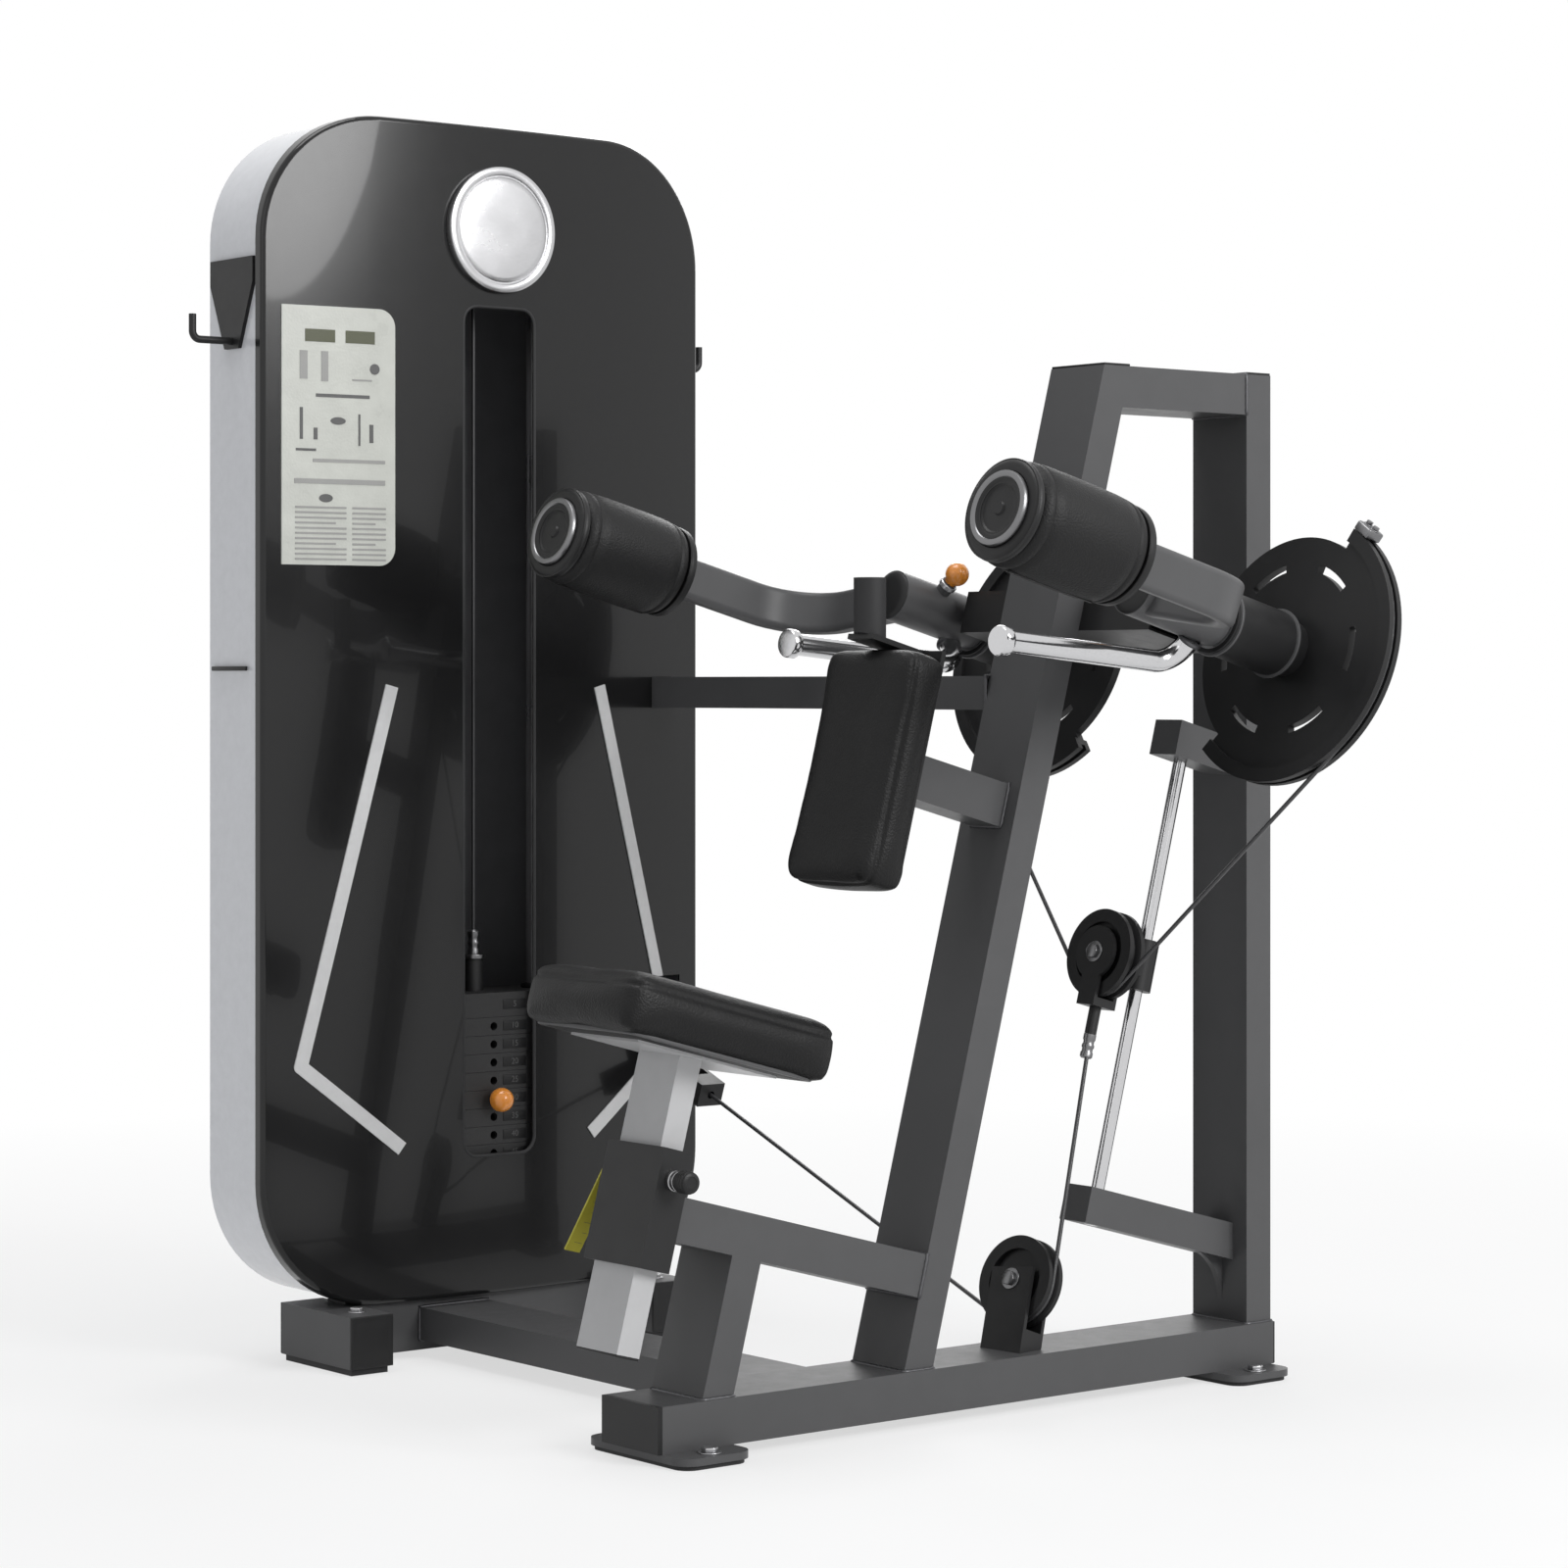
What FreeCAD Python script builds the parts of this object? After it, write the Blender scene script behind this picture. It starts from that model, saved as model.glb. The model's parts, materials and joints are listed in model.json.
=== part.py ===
"""Lateral raise machine: a seat, two shoulder arms on a frame and a weight tower.

Row frame: +X is the way the user faces, +Y points to the weight tower, +Z is up.
X = 0 is the middle of the main floor rail, Y = 0 its centre plane and Z = 0 the floor.

Most of the machine leans by one angle. Its leaned frame has u along the tubes that fall
towards the rear post, y as above and v along the leaning posts. At no lean u is X and v is Z.
All lengths are millimetres, all angles degrees.
"""
import FreeCAD, Part
import Sketcher
import math
import os
import re
from FreeCAD import Placement, Rotation, Vector

os.makedirs("parts", exist_ok=True)
doc = FreeCAD.newDocument("LateralRaiseMachine")
sheet = doc.addObject("Spreadsheet::Sheet", "Sizes")

# Driving dimensions, by the piece that they belong to
SIZES = {
    "General": {
        "lean": 15, "tube_wall": 3, "running_gap": 0.3, "fit_gap": 0.05, "overrun": 5,
        "frame_top": 1187, "post_width": 90, "post_depth": 40,
    },
    "Floor rail, its anchor plates and feet": {
        "rail_length": 913, "rail_width": 100, "rail_height": 50, "rail_cap": 6, "rail_plug": 25,
        "plate_length": 96, "plate_thick": 8, "plate_width": 180, "plate_corner": 22, "plate_inset": 52,
        "anchor_spread": 142, "anchor_radius": 6.5, "foot_thick": 5, "foot_margin": 4,
    },
    "Upper frame": {
        "front_post_front": -127, "beam_height": 48,
        "seat_tube_height": 48, "seat_tube_middle": 138, "brace_front": -397,
        "chest_tube_size": 50, "chest_tube_middle": 673,
    },
    "Seat sleeve, post and cushion": {
        "sleeve_width": 100, "sleeve_depth": 40, "sleeve_length": 128, "sleeve_low": 80,
        "seat_u": -499, "post_side": 72, "post_face": 30, "seat_post_low": -12,
        "seat_top": 374, "seat_thick": 62, "seat_length": 290, "seat_breadth": 205, "seat_corner": 16,
        "seat_shift": -5, "seat_plate_thick": 6, "seat_plate_length": 190, "seat_plate_breadth": 120,
        "scale_width": 20, "scale_thick": 2, "scale_length": 130, "scale_flare": 22,
        "pull_pin_radius": 5, "pull_bush_radius": 10, "pull_bush_length": 14,
        "pull_knob_radius": 12, "pull_knob_length": 18, "pull_pin_below_top": 32,
    },
    "Chest pad and centre grip": {
        "pad_back": -287, "pad_thick": 62, "pad_width": 150, "pad_height": 275, "pad_low": 529,
        "pad_corner": 16, "backplate_thick": 6, "backplate_width": 110, "backplate_margin": 22,
        "strap_width": 44, "strap_reach": 80, "grip_radius": 18, "grip_height": 66, "grip_behind": 18,
    },
    "Arm pivots": {
        "pivot_y": 205, "pivot_v": 914, "shaft_radius": 15, "housing_radius": 38, "housing_front": -34,
        "cam_clearance": 4, "housing_wall": 5, "bearing_length": 16, "carrier_depth": 100,
        "carrier_height": 50, "carrier_half": 160,
    },
    "Arms, rollers, handles and start pins": {
        "hub_radius": 30, "hub_length": 130, "arm_drop": 7.3, "arm_reach": 184, "arm_height": 50,
        "arm_thick": 22, "arm_corner": 7, "arm_bend": 80, "arm_cross": -144, "roller_front": -525,
        "roller_length": 152, "roller_radius": 57, "axle_radius": 12, "core_radius": 20,
        "flange_radius": 54, "flange_thick": 8, "ring_radius": 40, "ring_thick": 5, "ring_hole_radius": 26,
        "handle_radius": 12.5, "handle_u": -64, "handle_y": 182, "handle_v": 856, "handle_bend": 32,
        "handle_end_u": -309, "handle_end_v": 814, "handle_cap_radius": 16, "handle_cap_length": 10,
        "start_pin_u": -106, "start_pin_tilt": 45, "start_pin_radius": 5, "start_boss_radius": 9,
        "start_boss_length": 14, "start_knob_radius": 14, "start_pin_stem": 14,
    },
    "Cams": {
        "cam_u": 92, "cam_radius": 132, "cam_thick": 10, "cam_hub_radius": 32, "cam_hub_length": 36,
        "rim_outer": 157, "rim_inner": 141, "rim_thick": 20, "rim_groove": 6, "rim_floor": 150,
        "rim_from": -130, "rim_to": 62, "slot_count": 6, "slot_circle": 98, "slot_half_angle": 15,
        "slot_width": 9,
    },
    "Wheels, cables and the guide rod": {
        "wheel_radius": 52, "wheel_groove": 45, "wheel_thick": 24, "wheel_hub_radius": 14,
        "wheel_axle_radius": 8, "cable_radius": 2.5, "float_v": 548, "rod_u": 150, "rod_radius": 8,
        "cage_thick": 5, "cage_width": 36, "slider_radius": 17, "slider_length": 60, "clamp_radius": 7,
        "clamp_length": 34, "lower_bracket_v": 261, "bracket_height": 42, "bracket_width": 44,
        "upper_bracket_v": 817, "bracket_nose": 30, "gusset_size": 70, "gusset_thick": 8,
    },
    "Corners of the lift cable's route": {
        "low_corner_x": 88, "low_corner_y": -48, "low_corner_z": 66, "rise_x": 108, "rise_z": 356,
        "cable_top": 1472, "stand_width": 60, "entry_nose": 118, "entry_nose_size": 30,
        "entry_low": 306, "entry_high": 448, "entry_margin": 7,
    },
    "Tower covers and frame": {
        "tower_x": -160, "tower_front": 672, "tower_width": 650, "tower_low": 70, "tower_high": 1507,
        "tower_corner": 155, "cover_bow": 25, "cover_depth": 40, "cover_round": 6, "cover_wall": 3,
        "shell_depth": 108, "shell_tuck": 8, "back_thick": 3,
        "window_width": 106, "window_low": 240, "window_high": 1285,
        "window_corner": 20, "frame_half": 180, "frame_side": 40, "frame_y": 730, "tower_beam_top": 1370,
        "tower_beam_height": 30, "cable_way": 7.5, "stack_rod_radius": 12.5, "stack_rod_half": 95,
        "link_plate_thick": 8, "link_plate_margin": 14, "link_spacer": 5, "base_front": 617, "base_back": 772,
        "base_beam_front": 690, "base_beam_back": 750, "base_foot_width": 59, "base_foot_half": 222.5,
        "base_low": 8,
    },
    "Link beams": {
        "upper_link_x": 104, "upper_link_z": 810, "upper_link_size": 39,
        "lower_link_x": -216, "lower_link_width": 100, "lower_link_low": 20, "lower_link_height": 40,
    },
    "Weight stack": {
        "plate_long": 260, "plate_deep": 90, "weight_thick": 22, "stack_low": 140, "stack_step": 22.4,
        "lower_count": 7, "lifted_count": 5, "head_thick": 30, "stem_radius": 12, "stem_hole_radius": 13.5,
        "stem_above": 46, "rod_hole_radius": 13.5, "bumper_radius": 24, "pin_radius": 5, "pin_length": 58,
        "pin_knob_radius": 15, "pin_knob_y": 668,
    },
    "Badge, placard, strips and hooks": {
        "badge_radius": 78, "badge_thick": 6, "badge_z": 1380, "placard_low": 963, "placard_high": 1273,
        "placard_width": 150, "placard_edge": 18, "placard_corner": 22, "placard_thick": 2,
        "strip_width": 17, "strip_thick": 2, "strip_top_x": 155, "strip_top_z": 818,
        "strip_knee_x": 276, "strip_knee_z": 363, "strip_foot_x": 141, "strip_foot_z": 257,
        "hook_z": 1223, "hook_height": 108, "hook_band": 30, "hook_band_width": 98, "hook_foot_width": 32,
        "hook_thick": 5, "hook_reach": 58, "hook_tip": 30, "hook_y": 765, "hook_radius": 4.5, "hook_bend": 10,
    },
}


def fill_sheet():
    """Writes every driving dimension as a plain number with its alias."""
    row = 1
    for group, values in SIZES.items():
        sheet.set(f"A{row}", group)
        row += 1
        for alias, value in values.items():
            sheet.set(f"A{row}", alias)
            sheet.set(f"B{row}", str(value))
            sheet.setAlias(f"B{row}", alias)
            row += 1
    doc.recompute()


fill_sheet()
size = {alias: float(sheet.get(alias)) for values in SIZES.values() for alias in values}
UP, ALONG_X, ALONG_Y = Vector(0, 0, 1), Vector(1, 0, 0), Vector(0, 1, 0)
NOWHERE = Vector()
LEAN = Rotation(ALONG_Y, size["lean"])
nodes = []


def cells(text):
    """An expression with each alias pointed at the sheet."""
    return re.sub(r"[a-z_]+", lambda w: "Sizes." + w.group() if w.group() in size else w.group(), str(text))


def bind(made, **properties):
    for name, text in properties.items():
        made.setExpression(name.replace("__", "."), cells(text))
    return made


def put(made, x, y, z):
    return bind(made, Placement__Base__x=x, Placement__Base__y=y, Placement__Base__z=z)


def leaning(made):
    """Turns a piece made in the leaned frame into the row frame."""
    made.Placement = Placement(NOWHERE, LEAN)
    return bind(made, Placement__Rotation__Angle="lean")


def node(made, name):
    """Names a finished piece. The name is its file's too."""
    made.Label = name
    nodes.append(made)
    return made


def block(x_low, x_high, y_low, y_high, z_low, z_high):
    """A box between two corners, each side given as an expression."""
    made = doc.addObject("Part::Box", "Block")
    bind(made, Length=f"({x_high}) - ({x_low})", Width=f"({y_high}) - ({y_low})",
         Height=f"({z_high}) - ({z_low})")
    return put(made, x_low, y_low, z_low)


def bar(radius, length, x, y, z, axis=UP):
    """A cylinder whose first end's centre is x, y, z."""
    made = doc.addObject("Part::Cylinder", "Bar")
    made.Placement = Placement(NOWHERE, Rotation(UP, axis))
    bind(made, Radius=radius, Height=length)
    return put(made, x, y, z)


def ball(radius, x, y, z):
    made = doc.addObject("Part::Sphere", "Ball")
    bind(made, Radius=radius)
    return put(made, x, y, z)


def joined(*shapes):
    made = doc.addObject("Part::MultiFuse", "Joined")
    made.Shapes = list(shapes)
    made.Refine = True
    return made


def group(*shapes):
    made = doc.addObject("Part::Compound", "Group")
    made.Links = list(shapes)
    return made


def cut(base, *tools):
    for tool in tools:
        made = doc.addObject("Part::Cut", "Cut")
        made.Base, made.Tool = base, tool
        base = made
    return base


def within(base, tool):
    """What two solids share."""
    made = doc.addObject("Part::MultiCommon", "Within")
    made.Shapes = [base, tool]
    return made


def rounded(base, radius, wanted):
    """Fillets the edges of a finished shape that the test picks."""
    doc.recompute()
    made = doc.addObject("Part::Fillet", "Rounded")
    made.Base = base
    made.Edges = [(i + 1, radius, radius) for i, edge in enumerate(base.Shape.Edges) if wanted(edge)]
    return made


def shape(solid, turn=None):
    """A plain feature, for forms that no parametric feature makes."""
    made = doc.addObject("Part::Feature", "Form")
    made.Shape = solid
    if turn is not None:
        made.Placement = turn
    return made


def constrain(sketch, *words):
    return sketch.addConstraint(Sketcher.Constraint(*words))


def rectangle(sketch, width, height, name):
    """A centred rectangle, its two sides bound to the sheet."""
    w, h = 1.0, 1.0
    first = sketch.GeometryCount
    corners = [Vector(-w, -h, 0), Vector(w, -h, 0), Vector(w, h, 0), Vector(-w, h, 0)]
    for i in range(4):
        sketch.addGeometry(Part.LineSegment(corners[i], corners[(i + 1) % 4]))
    for i in range(4):
        constrain(sketch, "Coincident", first + i, 2, first + (i + 1) % 4, 1)
    for i in (0, 2):
        constrain(sketch, "Horizontal", first + i)
        constrain(sketch, "Vertical", first + i + 1)
    constrain(sketch, "Symmetric", first, 1, first + 1, 2, -1, 1)
    for kind, side, text in (("DistanceX", first, width), ("DistanceY", first + 1, height)):
        index = constrain(sketch, kind, side, 1, side, 2, 2.0)
        sketch.renameConstraint(index, f"{name}_{kind}")
        sketch.setExpression(f"Constraints.{name}_{kind}", cells(text))


def tube(outer, wall, length, turn_axis=ALONG_Y, turn="0"):
    """A hollow rectangular tube, padded from a sketch of its section, along Z before its turn."""
    body = doc.addObject("PartDesign::Body", "Tube")
    plane = next(f for f in body.Origin.OriginFeatures if f.Role == "XY_Plane")
    sketch = body.newObject("Sketcher::SketchObject", "Section")
    sketch.AttachmentSupport = [(plane, "")]
    sketch.MapMode = "FlatFace"
    rectangle(sketch, outer[0], outer[1], "outer")
    rectangle(sketch, f"{outer[0]} - 2 * {wall}", f"{outer[1]} - 2 * {wall}", "inner")
    pad = body.newObject("PartDesign::Pad", "Pad")
    pad.Profile = sketch
    pad.setExpression("Length", cells(length))
    body.Placement = Placement(NOWHERE, Rotation(turn_axis, 1))
    body.setExpression("Placement.Rotation.Angle", cells(turn))
    return body


def at_leaned(made, u, y, v):
    """Places a piece at a point given in the leaned frame."""
    return put(made, f"({u}) * cos(lean) + ({v}) * sin(lean)", y, f"({v}) * cos(lean) - ({u}) * sin(lean)")


def from_leaned(u, y, v):
    """A leaned point as a vector of the row frame."""
    return LEAN.multVec(Vector(u, y, v))


def leaned_block(u_low, u_high, y_low, y_high, v_low, v_high):
    """A box whose sides are given in the leaned frame."""
    made = leaning(block(u_low, u_high, y_low, y_high, v_low, v_high))
    return at_leaned(made, u_low, y_low, v_low)


def leaned_bar(radius, length, u, y, v):
    """A cylinder along the leaning posts from a point of the leaned frame."""
    return at_leaned(leaning(bar(radius, length, u, y, v)), u, y, v)


# Heights and places that several pieces share
RAIL_LOW = "(foot_thick + plate_thick)"
RAIL_TOP = "(foot_thick + plate_thick + rail_height)"
RAIL_HALF = "(rail_length / 2)"
POST_FRONT = "(rail_length / 2 - post_depth)"
FRONT_POST_BACK = "(front_post_front + post_depth)"
SLEEVE_BACK = "(seat_u + sleeve_depth / 2)"
SLEEVE_TOP = "(sleeve_low + sleeve_length)"
CUSHION_LOW = "(seat_top - seat_thick)"
BACKPLATE_BACK = "(pad_back + backplate_thick)"
PAD_TOP = "(pad_low + pad_height)"
LONG = "(2 * frame_top)"
BELOW_RAIL_TOP = block(f"-{LONG}", LONG, f"-{LONG}", LONG, f"-{LONG}", RAIL_TOP)
ABOVE_FRAME = block(f"-{LONG}", LONG, f"-{LONG}", LONG, "frame_top", LONG)


def floor_frame():
    """The rail on the floor with its cap, anchor plates and rubber feet."""
    rail = tube(("rail_height", "rail_width"), "tube_wall", "rail_length - rail_cap", turn="90")
    put(rail, f"rail_cap - {RAIL_HALF}", "0", f"{RAIL_LOW} + rail_height / 2")
    node(rail, "base_rail")

    face = block(f"-{RAIL_HALF}", f"rail_cap - {RAIL_HALF}", "-rail_width / 2", "rail_width / 2",
                 RAIL_LOW, RAIL_TOP)
    inside = "(tube_wall + running_gap)"
    plug = block(f"-{RAIL_HALF}", f"rail_cap + rail_plug - {RAIL_HALF}",
                 f"{inside} - rail_width / 2", f"rail_width / 2 - {inside}",
                 f"{RAIL_LOW} + {inside}", f"{RAIL_TOP} - {inside}")
    node(joined(face, plug), "rail_end_cap")

    plates, feet = [], []
    for side in ("-1", "1"):
        middle = f"({side} * ({RAIL_HALF} - plate_inset))"
        plate = block(f"{middle} - plate_length / 2", f"{middle} + plate_length / 2",
                      "-plate_width / 2", "plate_width / 2", "foot_thick", RAIL_LOW)
        plate = rounded(plate, size["plate_corner"], upright)
        half_foot = "(plate_length / 2 - foot_margin)"
        foot = block(f"{middle} - {half_foot}", f"{middle} + {half_foot}",
                     "foot_margin - plate_width / 2", "plate_width / 2 - foot_margin", "0", "foot_thick")
        foot = rounded(foot, size["plate_corner"] - size["foot_margin"], upright)
        holes = [bar("anchor_radius", f"2 * {RAIL_LOW}", middle, f"{end} * anchor_spread / 2",
                     "-plate_thick / 2")
                 for end in ("-1", "1")]
        plates.append(cut(plate, *holes))
        feet.append(cut(foot, *holes))
    for side in ("-1", "1"):
        middle = f"(tower_x + {side} * base_foot_half)"
        half_foot = "(base_foot_width / 2 - foot_margin)"
        feet.append(block(f"{middle} - {half_foot}", f"{middle} + {half_foot}",
                          "base_front + foot_margin", "base_back - foot_margin", "0", "base_low"))
    node(group(*plates), "anchor_plates")
    node(group(*feet), "rubber_feet")


def upright(edge):
    """True for a straight vertical edge."""
    return len(edge.Vertexes) == 2 and abs(edge.tangentAt(edge.FirstParameter).z) > 0.99


def upper_frame():
    """The two posts, the beam on top, the seat's frame and the chest pad's tube."""
    rear = tube(("post_depth", "post_width"), "tube_wall", f"frame_top - {RAIL_TOP}", turn="0")
    put(rear, f"{RAIL_HALF} - post_depth / 2", "0", RAIL_TOP)
    node(rear, "rear_post")

    front = tube(("post_depth", "post_width"), "tube_wall", LONG, turn="lean")
    at_leaned(front, "front_post_front + post_depth / 2", "0", "-post_width")
    node(cut(front, BELOW_RAIL_TOP, ABOVE_FRAME), "front_post")

    beam = tube(("beam_height", "post_width"), "tube_wall", POST_FRONT, turn="90")
    put(beam, "0", "0", "frame_top - beam_height / 2")
    ahead = leaned_block(f"-{LONG}", FRONT_POST_BACK, f"-{LONG}", LONG, f"-{LONG}", LONG)
    node(cut(beam, ahead), "top_beam")

    reach = f"front_post_front - {SLEEVE_BACK}"
    seat_tube = tube(("seat_tube_height", "post_width"), "tube_wall", reach, turn="90 + lean")
    at_leaned(seat_tube, SLEEVE_BACK, "0", "seat_tube_middle")
    brace = tube(("post_depth", "post_width"), "tube_wall",
                 "seat_tube_middle - seat_tube_height / 2 + post_width", turn="lean")
    at_leaned(brace, "brace_front + post_depth / 2", "0", "-post_width")
    node(joined(seat_tube, cut(brace, BELOW_RAIL_TOP)), "seat_frame")

    chest = tube(("chest_tube_size", "chest_tube_size"), "tube_wall", f"front_post_front - {BACKPLATE_BACK}",
                 turn="90 + lean")
    at_leaned(chest, BACKPLATE_BACK, "0", "chest_tube_middle")
    node(chest, "chest_tube")


def seat_group():
    """The sleeve with its liner, the sliding post, the cushion and the pull pin."""
    low, high = "seat_u - sleeve_depth / 2", "seat_u + sleeve_depth / 2"
    outer = block(low, high, "-sleeve_width / 2", "sleeve_width / 2", "sleeve_low", SLEEVE_TOP)
    hollow = block(f"{low} + tube_wall", f"{high} - tube_wall", "tube_wall - sleeve_width / 2",
                   "sleeve_width / 2 - tube_wall", "sleeve_low - overrun", f"{SLEEVE_TOP} + overrun")
    pin_v = f"({SLEEVE_TOP} - pull_pin_below_top)"
    bush = bar("pull_bush_radius", "pull_bush_length", "seat_u",
               "-sleeve_width / 2 - pull_bush_length", pin_v, ALONG_Y)
    liner_y, liner_gap = "(post_side / 2 + running_gap)", "(post_face / 2 + running_gap)"
    bore = bar("pull_pin_radius + fit_gap", "pull_bush_length + sleeve_width / 2", "seat_u",
               "-sleeve_width / 2 - pull_bush_length - overrun", pin_v, ALONG_Y)
    node(leaning(cut(joined(cut(outer, hollow), bush), bore)), "seat_sleeve")

    lining = block(f"{low} + tube_wall", f"{high} - tube_wall", "tube_wall - sleeve_width / 2",
                   "sleeve_width / 2 - tube_wall", "sleeve_low", SLEEVE_TOP)
    way = block(f"seat_u - {liner_gap}", f"seat_u + {liner_gap}", f"-{liner_y}", liner_y,
                "sleeve_low - overrun", f"{SLEEVE_TOP} + overrun")
    node(leaning(cut(lining, way, bore)), "sleeve_liner")

    post = tube(("post_face", "post_side"), "tube_wall", f"{CUSHION_LOW} - seat_plate_thick - seat_post_low")
    put(post, "seat_u", "0", "seat_post_low")
    plate = block("seat_u - seat_shift - seat_plate_length / 2",
                  "seat_u - seat_shift + seat_plate_length / 2",
                  "-seat_plate_breadth / 2", "seat_plate_breadth / 2",
                  f"{CUSHION_LOW} - seat_plate_thick", CUSHION_LOW)
    node(leaning(joined(post, plate)), "seat_post")

    cushion = pad_form(size["seat_length"], size["seat_breadth"], size["seat_thick"], size["seat_corner"])
    cushion.Placement = Placement(LEAN.multVec(Vector(size["seat_u"] - size["seat_shift"], 0,
                                                      size["seat_top"] - size["seat_thick"])), LEAN)
    node(shape(cushion), "seat_cushion")

    start = f"-{liner_y}"
    length = f"sleeve_width / 2 + pull_bush_length + pull_knob_length - {liner_y}"
    stem = bar("pull_pin_radius", length, "seat_u", f"{start} - ({length})", pin_v, ALONG_Y)
    knob = bar("pull_knob_radius", "pull_knob_length", "seat_u",
               "-sleeve_width / 2 - pull_bush_length - pull_knob_length - running_gap", pin_v, ALONG_Y)
    node(leaning(joined(stem, knob)), "seat_pull_pin")

    strip = block("0", "scale_width", "0", "scale_thick", "0", "scale_length")
    strip.Placement = Placement(NOWHERE, LEAN.multiply(Rotation(ALONG_X, size["scale_flare"])))
    at_leaned(strip, "seat_u - scale_width / 2", "sleeve_width / 2 + scale_length * sin(scale_flare)",
              f"{SLEEVE_TOP} - tube_wall - scale_length * cos(scale_flare)")
    node(strip, "height_scale")


def pad_form(length, breadth, thick, corner):
    """A crowned cushion: rounded rectangles that swell from the base and draw in to the crown."""
    profile = ((0, 0.14), (0.12, 0.04), (0.38, 0), (0.66, 0.03), (0.86, 0.14), (0.97, 0.36), (1, 0.62))
    wires = []
    for height_share, inset_share in profile:
        inset = inset_share * corner
        wires.append(rounded_wire(length / 2 - inset, breadth / 2 - inset, corner - inset / 2,
                                  height_share * thick))
    return Part.makeLoft(wires, True, False)


def rounded_wire(half_x, half_y, corner, z):
    """A closed outline of four lines and four quarter arcs, centred, at height z."""
    edges = []
    bend = corner * math.sqrt(0.5)
    x, y = half_x - corner, half_y - corner
    for turn in range(4):
        sides = (x, y, half_x, half_y) if turn % 2 == 0 else (y, x, half_y, half_x)
        inner_x, inner_y, outer_x, outer_y = sides
        spin = Rotation(UP, 90 * turn)
        low = spin.multVec(Vector(outer_x, -inner_y, 0))
        high = spin.multVec(Vector(outer_x, inner_y, 0))
        middle = spin.multVec(Vector(inner_x + bend, inner_y + bend, 0))
        end = spin.multVec(Vector(inner_x, outer_y, 0))
        edges.append(Part.LineSegment(low, high).toShape())
        edges.append(Part.Arc(high, middle, end).toShape())
    wire = Part.Wire(edges)
    wire.translate(Vector(0, 0, z))
    return wire


def chest_group():
    """The chest pad, its steel backplate with a strap over the top, and the centre grip."""
    pad = pad_form(size["pad_height"], size["pad_width"], size["pad_thick"], size["pad_corner"])
    face = Rotation(Vector(0, 0, 1), Vector(0, 1, 0), Vector(-1, 0, 0), "XYZ")
    middle = Vector(size["pad_back"], 0, size["pad_low"] + size["pad_height"] / 2)
    pad.Placement = Placement(LEAN.multVec(middle), LEAN.multiply(face))
    node(shape(pad), "chest_pad")

    strap_low = f"({PAD_TOP} + running_gap)"
    strap_high = f"({PAD_TOP} + running_gap + backplate_thick)"
    plate = block("pad_back", BACKPLATE_BACK, "-backplate_width / 2", "backplate_width / 2",
                  "pad_low + backplate_margin", strap_high)
    strap = block(f"{BACKPLATE_BACK} - strap_reach", BACKPLATE_BACK, "-strap_width / 2", "strap_width / 2",
                  strap_low, strap_high)
    node(leaning(joined(plate, strap)), "chest_backplate")

    stand_u = f"({BACKPLATE_BACK} - strap_reach + grip_behind)"
    grip = bar("grip_radius", "grip_height + grip_behind", "0", "0", "0")
    at_leaned(grip, stand_u, "0", f"{strap_high} - grip_behind")
    under = leaned_block(f"-{LONG}", LONG, f"-{LONG}", LONG, f"-{LONG}", strap_high)
    node(cut(grip, under), "centre_grip")


def pivot_group():
    """The carrier behind the front post, with a bearing housing at each end."""
    housing_length = "(cam_u - cam_hub_length / 2 - cam_clearance - housing_front)"
    low, high = "(pivot_v - carrier_height / 2)", "(pivot_v + carrier_height / 2)"
    back = f"({FRONT_POST_BACK} + carrier_depth)"
    inner_low, inner_high = f"{low} + tube_wall", f"{high} - tube_wall"
    beam = block(FRONT_POST_BACK, back, "-carrier_half", "carrier_half", low, high)
    hollow = block(f"{FRONT_POST_BACK} + tube_wall", f"{back} - tube_wall",
                   "-carrier_half - overrun", "carrier_half + overrun", inner_low, inner_high)
    web = block("housing_front + tube_wall", back, "-pivot_y", "pivot_y", inner_low, inner_high)
    shells, bores, rings = [], [], []
    for side in ("-1", "1"):
        y = f"{side} * pivot_y"
        shells.append(bar("housing_radius", housing_length, "housing_front", y, "pivot_v", ALONG_X))
        bores.append(bar("housing_radius - housing_wall", f"{housing_length} + 2 * overrun",
                         "housing_front - overrun", y, "pivot_v", ALONG_X))
        for start in ("housing_front", f"housing_front + {housing_length} - bearing_length"):
            ring = bar("housing_radius - housing_wall", "bearing_length", start, y, "pivot_v", ALONG_X)
            hole = bar("shaft_radius + fit_gap", "bearing_length + 2 * overrun", f"{start} - overrun", y,
                       "pivot_v", ALONG_X)
            rings.append(cut(ring, hole))
    frame = joined(cut(beam, hollow), web, *shells)
    node(leaning(cut(frame, *bores)), "pivot_carrier")
    node(leaning(group(*rings)), "pivot_bearings")


def swept(section, edges):
    """A solid of one section along a path of tangent runs and arcs."""
    return Part.Wire(edges).makePipeShell([section], True, False)


def bent_path(points, radii):
    """Runs between points, with an arc of its own radius at each corner."""
    edges = []
    start = points[0]
    for i in range(1, len(points) - 1):
        back = (points[i - 1] - points[i]).normalize()
        ahead = (points[i + 1] - points[i]).normalize()
        half = back.getAngle(ahead) / 2
        setback = radii[i - 1] / math.tan(half)
        first, last = points[i] + back * setback, points[i] + ahead * setback
        bisector = (back + ahead).normalize()
        middle = points[i] + bisector * (radii[i - 1] / math.sin(half) - radii[i - 1])
        edges.append(Part.LineSegment(start, first).toShape())
        edges.append(Part.Arc(first, middle, last).toShape())
        start = last
    edges.append(Part.LineSegment(start, points[-1]).toShape())
    return edges


def round_section(radius, centre, direction):
    return Part.Wire([Part.Circle(centre, direction, radius).toShape()])


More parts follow.
